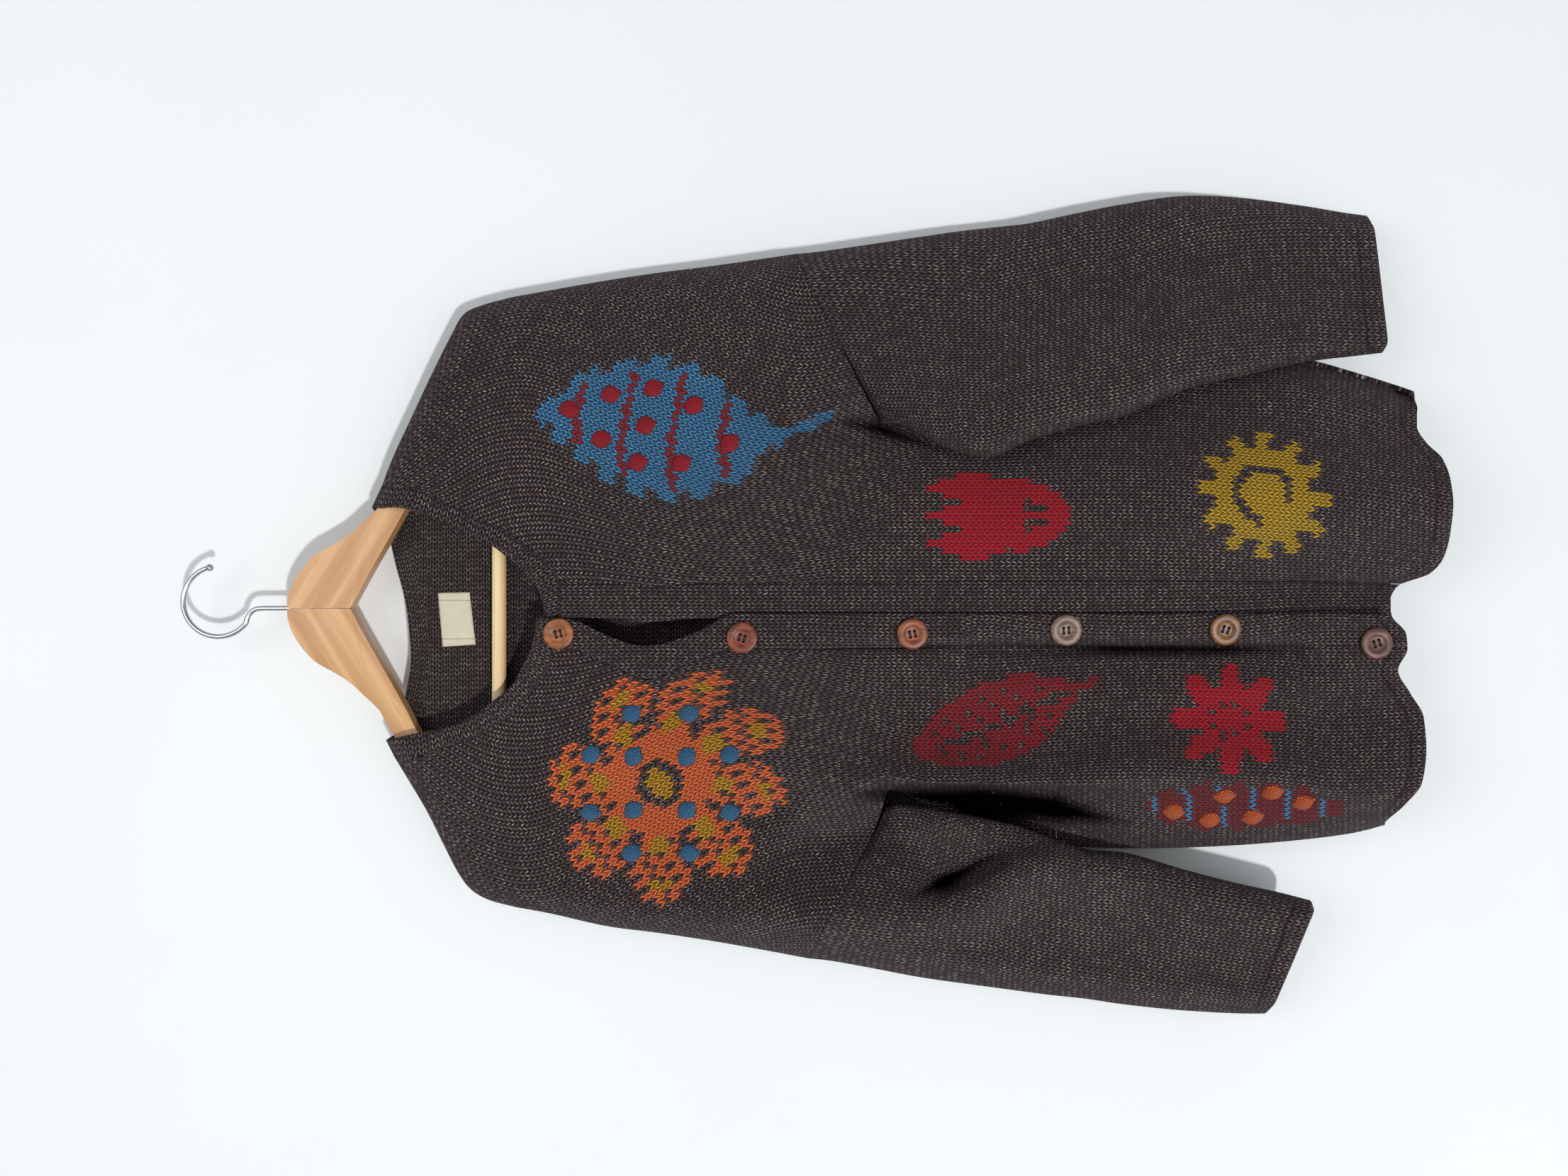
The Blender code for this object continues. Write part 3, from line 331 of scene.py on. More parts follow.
HANGER_X = -5.0
WOOD_HALF = 6.0
HANGER_HALF_OUTLINE = [
    (0, -77.5), (8, -78), (18, -81.5), (29, -88.5), (39, -98), (46, -110), (54, -123), (64, -134),
    (74, -144.5), (82, -149.5), (108, -164), (150, -187), (180, -202), (194, -212), (197, -222),
    (197, -240), (188, -244), (179, -240), (169, -226), (140, -204), (95, -176), (72, -164),
    (47, -150), (24, -137), (2, -125), (0, -124),
]
BAR_Z = -232.5
BAR_RADIUS = 5.2
BAR_HALF = 176.0
TENON_RADIUS = 3.4
TENON_LENGTH = 10.0
HOOK_WIRE = 2.1
HOOK_RADIUS = 26.1
HOOK_STEM_X = -5.0
STEM_DEPTH = 18.0
HANGER_CORNERS = (15, 16, 25)

# Soft creases, placed one by one. Columns: start x, start z, end x, end z, half width, height towards the
# eye.
LEFT_FRONT_CREASES = [
    (134, -445, 116, -520, 8, -6),
    (128, -470, 165, -360, 9, -2.6), (150, -468, 200, -380, 10, -2.4), (112, -500, 60, -440, 10, -1.8),
    (100, -165, 150, -250, 16, 1.6), (60, -300, 40, -430, 16, 1.4), (30, -560, 36, -680, 12, -1.6),
    (120, -640, 104, -760, 12, -2.2), (60, -700, 52, -820, 14, 2.0), (140, -700, 132, -840, 11, -2.0),
]
RIGHT_FRONT_CREASES = [
    (-35, -585, -36, -825, 5, -15), (-33, -470, -34, -590, 4, -5),
    (-136, -478, -170, -400, 9, -2.6), (-150, -480, -215, -420, 10, -2.4), (-120, -500, -84, -440, 12, -1.8),
    (-120, -170, -160, -250, 16, 1.6), (-70, -300, -60, -430, 16, 1.4), (-76, -560, -70, -680, 12, -1.8),
    (-96, -640, -90, -760, 12, -1.8), (-62, -760, -66, -860, 12, 2.0),
]
BACK_CREASES = [
    (120, -500, 60, -430, 14, -2.0), (-130, -505, -70, -430, 14, -2.0), (70, -640, 60, -800, 16, -2.4),
    (-60, -620, -50, -800, 18, -2.0), (20, -560, 26, -760, 16, 1.8), (0, -220, 10, -360, 20, 1.4),
]
LEFT_SLEEVE_CREASES = [
    (150, -560, 228, -588, 8, -2.4), (140, -592, 236, -632, 9, -2.0), (160, -650, 262, -690, 11, -1.8),
    (200, -744, 284, -760, 11, 1.6), (190, -820, 240, -850, 11, 1.3), (232, -520, 256, -610, 10, 1.8),
]
RIGHT_SLEEVE_CREASES = [
    (-214, -548, -188, -602, 9, -11), (-226, -556, -196, -612, 5, 3.5), (-186, -606, -176, -650, 6, -4),
    (-176, -560, -226, -596, 8, -2.4), (-186, -610, -250, -648, 9, -2.0), (-206, -690, -270, -704, 11, -1.6),
    (-222, -744, -284, -740, 11, 1.4), (-262, -520, -268, -610, 10, 1.6),
]
SLEEVE_BACK_CREASES = [
    (160, -590, 240, -620, 12, -1.8), (190, -700, 270, -720, 12, -1.6), (220, -780, 270, -800, 12, 1.4),
]

# Dark strokes of painted shade on the cloth, as seen from the eye, where folds are too shallow to be in
# shade.
# Columns: start x, start z, end x, end z, half width at the start and at the end, and soft edge.
PAINTED_SHADE_STROKES = {
    "knit_front_right": [
        (-34, -590, -35, -690, -3, 3.5, 7), (-35, -690, -35.5, -775, 3.5, 3.0, 7),
        (-35.5, -775, -36, -850, 3.0, -3, 7),
        (-140, -486, -147, -540, -3, 8, 12), (-147, -540, -151, -590, 8, 14, 12),
        (-151, -590, -154, -645, 14, 11, 12), (-154, -645, -166, -712, 11, -4, 12),
    ],
    "knit_front_left": [(138, -455, 128, -515, -3, 5, 10), (128, -515, 103, -588, 5, -3, 10)],
    "knit_sleeve_right": [(-222, -534, -208, -564, -3, 7, 9), (-208, -564, -186, -606, 7, -3, 9)],
}

EYE = Vector((EYE_X, -EYE_DISTANCE, EYE_Z))


class Side(Enum):
    """The wearer's left, at +X, or right, at -X."""

    LEFT = 1
    RIGHT = -1

    @property
    def word(self) -> str:
        """The side's word in a piece's name."""
        return self.name.lower()


def mix(a: float, b: float, share: float) -> float:
    """The value a share of the way from a to b."""
    return a + (b - a) * share


def smooth(value: float) -> float:
    """An even ease from 0 at 0 to 1 at 1."""
    value = min(max(value, 0.0), 1.0)
    return value * value * (3.0 - 2.0 * value)


def curve_through(rows: Sequence[Row], t: float, corners: Sequence[int] = ()) -> list[float]:
    """The row at t on a smooth curve through a table's rows.

    Args:
        rows: The table.
        t: The place, which may fall between two rows.
        corners: The rows where the curve may turn sharply.

    Returns:
        Each column's value there.
    """
    t = min(max(t, 0.0), len(rows) - 1.0)
    low = min(int(t), len(rows) - 2)
    a, b = rows[low], rows[low + 1]
    share = t - low
    before = rows[low - 1] if low > 0 and low not in corners else None
    after = rows[low + 2] if low + 2 < len(rows) and low + 1 not in corners else None
    found = []
    for k, (start, end) in enumerate(zip(a, b)):
        first = end - start if before is None else (end - before[k]) / 2
        last = end - start if after is None else (after[k] - start) / 2
        found.append(hermite(start, end, first, last, share))
    return found


def hermite(start: float, end: float, first: float, last: float, share: float) -> float:
    """The cubic between two values that has these slopes at its ends."""
    square = share * share
    cube = square * share
    return ((2 * cube - 3 * square + 1) * start + (cube - 2 * square + share) * first
            + (3 * square - 2 * cube) * end + (cube - square) * last)


def read_table(rows: Sequence[Row], key: float) -> list[float]:
    """The other columns of a table at a value of its first column, on a smooth curve.

    Args:
        rows: The table, whose first column may run either way.
        key: The value of its first column.

    Returns:
        The other columns there, held at the table's ends.
    """
    if rows[0][0] > rows[-1][0]:
        rows = rows[::-1]
    if key <= rows[0][0]:
        return list(rows[0][1:])
    if key >= rows[-1][0]:
        return list(rows[-1][1:])
    low = max(k for k in range(len(rows) - 1) if rows[k][0] <= key)
    a, b = rows[low], rows[low + 1]
    span = b[0] - a[0]
    found = []
    for k in range(1, len(a)):
        slope = (b[k] - a[k]) / span
        first, last = slope, slope
        if low > 0:
            first = level((a[k] - rows[low - 1][k]) / (a[0] - rows[low - 1][0]), slope)
        if low + 2 < len(rows):
            last = level(slope, (rows[low + 2][k] - b[k]) / (rows[low + 2][0] - b[0]))
        found.append(hermite(a[k], b[k], first * span, last * span, (key - a[0]) / span))
    return found


def level(before: float, after: float) -> float:
    """The slope at a row between two spans, which is flat at a peak."""
    return 0.0 if before * after <= 0.0 else 2.0 * before * after / (before + after)


def in_place(x: float, y: float, z: float) -> Vector:
    """The point that stands at depth y and is seen at x, z on the hanger's plane."""
    scale = (EYE_DISTANCE + y) / EYE_DISTANCE
    return Vector((EYE_X + (x - EYE_X) * scale, y, EYE_Z + (z - EYE_Z) * scale))


def edge_distance(x: float, z: float, line: Sequence[Spot]) -> float:
    """How far a place is from a line of points."""
    best = 1e9
    for (ax, az), (bx, bz) in zip(line, line[1:]):
        dx, dz = bx - ax, bz - az
        share = ((x - ax) * dx + (z - az) * dz) / (dx * dx + dz * dz)
        share = min(max(share, 0.0), 1.0)
        best = min(best, math.hypot(x - ax - dx * share, z - az - dz * share))
    return best


def roundness(distance: float, radius: float) -> float:
    """How far the cloth stands from its side's middle, from 0 at the edge to 1 at radius from it."""
    rest = 1.0 - min(distance / radius, 1.0)
    return math.sqrt(max(1.0 - rest * rest, 0.0))


def fold_height(folds: dict[str, list[Row]], x: float, z: float) -> float:
    """The height of all the folds at a place, towards the eye."""
    total = 0.0
    for rows in folds.values():
        if z > rows[0][0] or z < rows[-1][0] - 60.0:
            continue
        middle, height, inward, outward = read_table(rows, z)
        width = outward if abs(x) > abs(middle) else inward
        total += height * math.exp(-(((x - middle) / width) ** 2))
    return total


def crease_depth(creases: Sequence[Row], x: float, z: float) -> float:
    """The height of the listed soft creases at a place.

    Args:
        creases: Rows of start x, z, end x, z, half width and height.
        x: The place across.
        z: The place up.

    Returns:
        Their height towards the eye, less than nothing in a trough.
    """
    total = 0.0
    for ax, az, bx, bz, width, height in creases:
        dx, dz = bx - ax, bz - az
        share = ((x - ax) * dx + (z - az) * dz) / (dx * dx + dz * dz)
        if -0.3 < share < 1.3:
            held = min(max(share, 0.0), 1.0)
            away = math.hypot(x - ax - dx * held, z - az - dz * held) / width
            if away < 3.0:
                total += height * math.exp(-away * away) * (0.35 + 0.65 * math.sin(math.pi * held))
    return total

FRONT_ROWS = {Side.LEFT: LEFT_FRONT_ROWS, Side.RIGHT: RIGHT_FRONT_ROWS}
FRONT_FOLDS = {Side.LEFT: LEFT_FRONT_FOLDS, Side.RIGHT: RIGHT_FRONT_FOLDS}
FRONT_CREASES = {Side.LEFT: LEFT_FRONT_CREASES, Side.RIGHT: RIGHT_FRONT_CREASES}
SLEEVE_ROWS = {Side.LEFT: LEFT_SLEEVE_ROWS, Side.RIGHT: RIGHT_SLEEVE_ROWS}
SLEEVE_FOLDS = {Side.LEFT: LEFT_SLEEVE_FOLDS, Side.RIGHT: RIGHT_SLEEVE_FOLDS}
SLEEVE_CREASES = {Side.LEFT: LEFT_SLEEVE_CREASES, Side.RIGHT: RIGHT_SLEEVE_CREASES}
NECK_ROWS = {Side.LEFT: LEFT_NECK_ROWS, Side.RIGHT: RIGHT_NECK_ROWS}
FRONT_CORNERS = (BAND_START_ROW, FOLD_END_ROW, UNDERARM_ROW)
BACK_TOP_ROWS = 9.0
BACK_TOP_LINE = [(row[2], row[3]) for row in BACK_NECK_ROWS]


def front_row(side: Side, t: float) -> list[float]:
    """The inner and outer end of a front's row."""
    return curve_through(FRONT_ROWS[side], t, FRONT_CORNERS)


def closed_edges(side: Side) -> list[list[Spot]]:
    """The shoulder line down to the armhole, and the side seam below it, where front meets back."""
    steps = 4
    above = [front_row(side, k / steps)[2:] for k in range(FOLD_END_ROW * steps + 1)]
    below = [front_row(side, k / steps)[2:] for k in range(UNDERARM_ROW * steps, LAST_ROW * steps + 1)]
    first = NECK_ROWS[side][0]
    return [[(first[0], first[1])] + [(x, z) for x, z in above], [(x, z) for x, z in below]]


CLOSED = {side: closed_edges(side) for side in Side}


def body_roundness(side: Side, x: float, z: float, radius: float) -> float:
    """How far the body stands out at a place, from 0 at its closed edges to 1."""
    return roundness(min(edge_distance(x, z, line) for line in CLOSED[side]), radius)


def front_y(side: Side, x: float, z: float) -> float:
    """Depth of a front's outer face where it is seen at x, z."""
    front, _, radius, middle = read_table(BODY_DEPTHS, z)
    folded = front + fold_height(FRONT_FOLDS[side], x, z) + crease_depth(FRONT_CREASES[side], x, z)
    if side is Side.RIGHT:
        folded += OVERLAP_STEP * (1.0 - smooth((-x - 30.0) / OVERLAP_WIDTH))
    return middle - SEAM_GAP / 2 - max(folded, 6.0) * body_roundness(side, x, z, radius)


def hollow_at(name: str, point: Vector) -> float:
    """How far a panel's point lies in a stroke of painted shade, as seen from the eye, from 0 to 1."""
    scale = EYE_DISTANCE / (EYE_DISTANCE + point.y)
    x, z = EYE_X + (point.x - EYE_X) * scale, EYE_Z + (point.z - EYE_Z) * scale
    deepest = 0.0
    if point.y > 0.0:
        return deepest
    for ax, az, bx, bz, first, last, edge in PAINTED_SHADE_STROKES.get(name, []):
        dx, dz = bx - ax, bz - az
        share = min(max(((x - ax) * dx + (z - az) * dz) / (dx * dx + dz * dz), 0.0), 1.0)
        away = math.hypot(x - ax - dx * share, z - az - dz * share)
        deepest = max(deepest, smooth((mix(first, last, share) - away) / edge + 0.5))
    return deepest


def back_y(side: Side, x: float, z: float) -> float:
    """Depth of the back's outer face where it is seen at x, z."""
    _, back, radius, middle = read_table(BODY_DEPTHS, z)
    folded = back + fold_height(BACK_FOLDS, x, z) + crease_depth(BACK_CREASES, x, z)
    return middle + SEAM_GAP / 2 + folded * body_roundness(side, x, z, radius)


def hem_shift(x: float, t: float, straight_hem: float) -> float:
    """How far the hem's own line moves a place in the last rows."""
    share = max(t - HEM_START_ROW, 0.0) / (LAST_ROW - HEM_START_ROW)
    return (read_table(HEM_LINE, x)[0] - straight_hem) * share * share


def front_place(side: Side, t: float, u: float) -> Spot:
    """Where a front's cloth is seen, u from its band seam at 0 to its outer edge at 1."""
    x_in, z_in, x_out, z_out = front_row(side, t)
    x, z = mix(x_in, x_out, u), mix(z_in, z_out, u)
    last = FRONT_ROWS[side][-1]
    return x, z + hem_shift(x, t, mix(last[1], last[3], u))


def front_point(side: Side, t: float, u: float) -> Vector:
    """A point of a front's outer face."""
    x, z = front_place(side, t, u)
    y = front_y(side, x, z)
    if side is Side.RIGHT:
        tuck = read_table(OVERHANG_TUCK, z)[0]
        x += tuck * math.exp(-(((x - OVERHANG_TUCK_X) / OVERHANG_TUCK_WIDTH) ** 2))
    return in_place(x, y, z)


def band_place(side: Side, t: float, v: float) -> Spot:
    """Where a front band is seen, v from its seam at 0 to its free edge at 1."""
    x_in, z_in, _, _ = front_row(side, t)
    table = LEFT_BAND_EDGE if side is Side.LEFT else RIGHT_BAND_EDGE
    below = LEFT_BAND_EDGE_BELOW if side is Side.LEFT else RIGHT_BAND_EDGE_BELOW
    rows = [*table, (below, FRONT_ROWS[side][BAND_START_ROW + len(table)][1])]
    x_edge, z_edge = below, z_in
    if t < BAND_START_ROW + len(table):
        x_edge, z_edge = curve_through(rows, t - BAND_START_ROW)
    x, z = mix(x_in - side.value * SEAM_GAP, x_edge, v), mix(z_in, z_edge, v)
    return x, z + hem_shift(x, t, FRONT_ROWS[side][-1][1])


def neck_place(rows: Sequence[Row], s: float, v: float) -> Spot:
    """Where the neck edging is seen, v from its seam at 0 to its free edge at 1."""
    x_edge, z_edge, x_seam, z_seam = curve_through(rows, s)
    length = math.hypot(x_edge - x_seam, z_edge - z_seam)
    v = mix(SEAM_GAP / length, 1.0, v)
    return mix(x_seam, x_edge, v), mix(z_seam, z_edge, v)


def back_side(x: float) -> Side:
    """Which half of the back a place is on."""
    return Side.LEFT if x > HANGER_X else Side.RIGHT


def back_place(t: float, u: float) -> Spot:
    """Where the back is seen, u from its right edge at 0 to its left edge at 1."""
    _, _, x_right, z_right = front_row(Side.RIGHT, t)
    _, _, x_left, z_left = front_row(Side.LEFT, t)
    x, z_side = mix(x_right, x_left, u), mix(z_right, z_left, u)
    top_x = mix(BACK_TOP_LINE[0][0], BACK_TOP_LINE[-1][0], u)
    top_z = mix(BACK_TOP_LINE[0][1], BACK_TOP_LINE[-1][1], u)
    drop = neck_line(top_x) - top_z
    z = z_side + drop * max(1.0 - t / BACK_TOP_ROWS, 0.0)
    last = mix(RIGHT_FRONT_ROWS[-1][3], LEFT_FRONT_ROWS[-1][3], u)
    share = max(t - HEM_START_ROW, 0.0) / (LAST_ROW - HEM_START_ROW)
    return x, z + (BACK_HEM - last) * share * share * min(1.0, 12.0 * u * (1.0 - u))


def neck_line(x: float) -> float:
    """The height of the back neck's seam across the back."""
    line = BACK_NECK_SEAM
    low = max((k for k in range(len(line) - 1) if line[k][0] <= x), default=0)
    (ax, az), (bx, bz) = line[low], line[low + 1]
    return mix(az, bz, (x - ax) / (bx - ax))


BACK_NECK_SEAM = [tuple(curve_through(BACK_NECK_ROWS, k / 6)[2:]) for k in range(49)]


def sleeve_point(side: Side, t: float, u: float, front: bool) -> Vector:
    """A point of a sleeve's outer face, u from its inner edge at 0 to its outer edge at 1."""
    rows = SLEEVE_ROWS[side]
    x_in, z_in, x_out, z_out, forward, front_depth, back_depth = curve_through(rows, t, (0,))
    x, z = mix(x_in, x_out, u), mix(z_in, z_out, u)
    body_front, body_back, radius, middle = read_table(BODY_DEPTHS, z)
    share = smooth(t / SLEEVE_BLEND_ROWS)
    inner, outer, above = SLEEVE_EDGES[side]
    distance = min(edge_distance(x, z, inner), edge_distance(x, z, outer), edge_distance(x, z, above))
    rounding = roundness(distance, mix(radius, 20.0, share))
    middle = mix(middle, 0.0, share) + forward * (1.0 - smooth(u / 0.8))
    if front:
        upper = max(body_front + fold_height(FRONT_FOLDS[side], x, z)
                    + crease_depth(FRONT_CREASES[side], x, z), 6.0)
        own = front_depth + fold_height(SLEEVE_FOLDS[side], x, z)
        own += crease_depth(SLEEVE_CREASES[side], x, z)
        return in_place(x, middle - max(mix(upper, own, share), 6.0) * rounding, z)
    upper = body_back + fold_height(BACK_FOLDS, x, z)
    own = (mix(6.0, back_depth, smooth(u / 0.7))
           + crease_depth(SLEEVE_BACK_CREASES, abs(x), z) * smooth(u / 0.3))
    return in_place(x, middle + mix(upper, own, share) * rounding, z)


def sleeve_edges(side: Side) -> list[list[Spot]]:
    """A sleeve's inner edge, its outer edge and the end of the shoulder's line above it."""
    rows = SLEEVE_ROWS[side]
    line = [curve_through(rows, k / 3, (0,)) for k in range(3 * (len(rows) - 1) + 1)]
    return [[(r[0], r[1]) for r in line], [(r[2], r[3]) for r in line], CLOSED[side][0][-8:]]


SLEEVE_EDGES = {side: sleeve_edges(side) for side in Side}


@dataclass(frozen=True)
class Turn:
    """A turned part of the knitting, where the hanger pulls the wales out of the upright."""

    x: float
    z: float
    angle: float
    inner: float = 62.0
    outer: float = 215.0

    def apply(self, p: float, q: float) -> Spot:
        """The place in the knitting that a place on the cloth shows."""
        away = math.hypot(p - self.x, q - self.z)
        angle = math.radians(self.angle) * (1.0 - smooth((away - self.inner) / (self.outer - self.inner)))
        dx, dz = p - self.x, q - self.z
        return (self.x + dx * math.cos(angle) - dz * math.sin(angle),
                self.z + dx * math.sin(angle) + dz * math.cos(angle))

    def angle_at(self, p: float, q: float) -> float:
        """The angle in degrees that the knitting is turned by at a place."""
        away = math.hypot(p - self.x, q - self.z)
        return self.angle * (1.0 - smooth((away - self.inner) / (self.outer - self.inner)))


TURNS = {Side.LEFT: Turn(185.0, -350.0, 32.0), Side.RIGHT: Turn(-190.0, -350.0, -32.0)}


NO_TRIM = 500.0
SLEEVE_START = 0.012
Place = Callable[[float, float], Vector]
Seen = Callable[[float, float], Spot]


@dataclass
class Panel:
    """One knitted panel: a grid that is bent to its place, with its knitting's own map.

    The map's unit is a millimetre, across the wales and along them.
    """

    name: str
    node: str
    place: Place
    columns: list[float]
    rows: list[float]
    outward: int
    seen: Seen
    side: Side | None = None
    ring: bool = False
    edging: bool = False
    origin_column: int = 0
    spots: list[tuple[Spot, Spot]] = field(default_factory=list)

    def build(self) -> bpy.types.Object:
        """Makes the panel's object, one face thick.

        Returns:
            The object, whose map is called knit and whose trim attribute is the distance to its hem.
        """
        bm = bmesh.new()
        wide, tall = len(self.columns) - 1, len(self.rows) - 1
        bmesh.ops.create_grid(bm, x_segments=wide, y_segments=tall, size=0.5)
        points = [[self.place(t, u) for u in self.columns] for t in self.rows]
        across = self.across(points)
        along = self.along(points)
        if self.edging:
            across, along = along, across
        knit = bm.loops.layers.uv.new("knit")
        trim = bm.verts.layers.float.new("trim")
        # This attribute holds each point's share of painted shade, which darkens the knit's colour.
        hollow = bm.verts.layers.float.new("hollow")
        grid = {}
        for vert in bm.verts:
            column = round((vert.co.x + 0.5) * wide)
            row = round((0.5 - vert.co.y) * tall)
            grid[vert] = (row, column)
        for face in bm.faces:
            for loop in face.loops:
                row, column = grid[loop.vert]
                loop[knit].uv = self.knit(across[row][column], along[row][column])
        for vert, (row, column) in grid.items():
            vert.co = points[row][column] * MM
            vert[hollow] = hollow_at(self.name, points[row][column])
            vert[trim] = NO_TRIM if self.edging else along[row][column] - along[-1][column]
        self.note_spots(across, along)
        if self.ring:
            bmesh.ops.remove_doubles(bm, verts=bm.verts, dist=0.00001)
        if self.outward < 0:
            bmesh.ops.reverse_faces(bm, faces=bm.faces)
        return finish_mesh(self.name, bm)

    def across(self, points: list[list[Vector]]) -> list[list[float]]:
        """Length of cloth from the first column to each point, with the origin column upright."""
        found = []
        for row, t in zip(points, self.rows):
            line = [0.0]
            for a, b in zip(row, row[1:]):
                line.append(line[-1] + (b - a).length)
            free = self.ring or self.edging
            start = 0.0 if free else self.seen(t, self.columns[self.origin_column])[0]
            sign = 1.0 if free or row[-1].x > row[0].x else -1.0
            found.append([start + sign * (x - line[self.origin_column]) for x in line])
        return found

    def along(self, points: list[list[Vector]]) -> list[list[float]]:
        """The height of each point in the knitting."""
        if self.ring or self.edging:
            middle = [row[len(row) // 4] for row in points]
            line = [0.0]
            for a, b in zip(middle, middle[1:]):
                line.append(line[-1] - (b - a).length)
            return [[value] * len(self.columns) for value in line]
        return [[self.seen(t, u)[1] for u in self.columns] for t in self.rows]

    def knit(self, p: float, q: float) -> Spot:
        """The place in the knitting, turned where the hanger pulls it."""
        return TURNS[self.side].apply(p, q) if self.side else (p, q)

    def note_spots(self, across: list[list[float]], along: list[list[float]]) -> None:
        """Keeps where a coarse net of places is seen, with its place in the knitting."""
        if self.ring or self.edging:
            return
        for row in range(0, len(self.rows), 3):
            for column in range(0, len(self.columns), 3):
                seen = self.seen(self.rows[row], self.columns[column])
                self.spots.append((seen, (across[row][column], along[row][column])))

    def knit_at(self, x: float, z: float) -> Spot:
        """The place in the knitting, before its turn, that is seen at x, z."""
        (sx, sz), (p, q) = min(self.spots, key=lambda s: (s[0][0] - x) ** 2 + (s[0][1] - z) ** 2)
        return p + x - sx, q + z - sz


def finish_mesh(name: str, bm: bmesh.types.BMesh) -> bpy.types.Object:
    """Turns a bmesh into an object of the scene, smooth all over."""
    mesh = bpy.data.meshes.new(name)
    bm.to_mesh(mesh)
    bm.free()
    mesh.shade_smooth()
    obj = bpy.data.objects.new(name, mesh)
    bpy.context.scene.collection.objects.link(obj)
    return obj


def thicken(obj: bpy.types.Object, thickness: float, inside_slot: int = 0) -> None:
    """Gives a panel its wall, inwards from its face.

    Args:
        obj: The panel.
        thickness: The wall in millimetres.
        inside_slot: How many material slots further on the inner face's material is.
    """
    wall = obj.modifiers.new("Wall", "SOLIDIFY")
    wall.thickness = thickness * MM
    wall.offset = -1.0
    wall.material_offset = inside_slot
    wall.use_even_offset = False


def even(count: int, start: float = 0.0, end: float = 1.0) -> list[float]:
    """Evenly spaced places, both ends included."""
    return [mix(start, end, k / count) for k in range(count + 1)]


def turned_edge(length: float, radius: float, count: int, steps: int = 9) -> list[float]:
    """Places across a panel, even and then closer where it turns to its side at the far end."""
    turns = [1.0 - min(radius * (1.0 - math.cos(math.pi / 2 * k / steps)), length * 0.5) / length
             for k in range(steps, -1, -1)]
    return even(count, 0.0, turns[0])[:-1] + turns


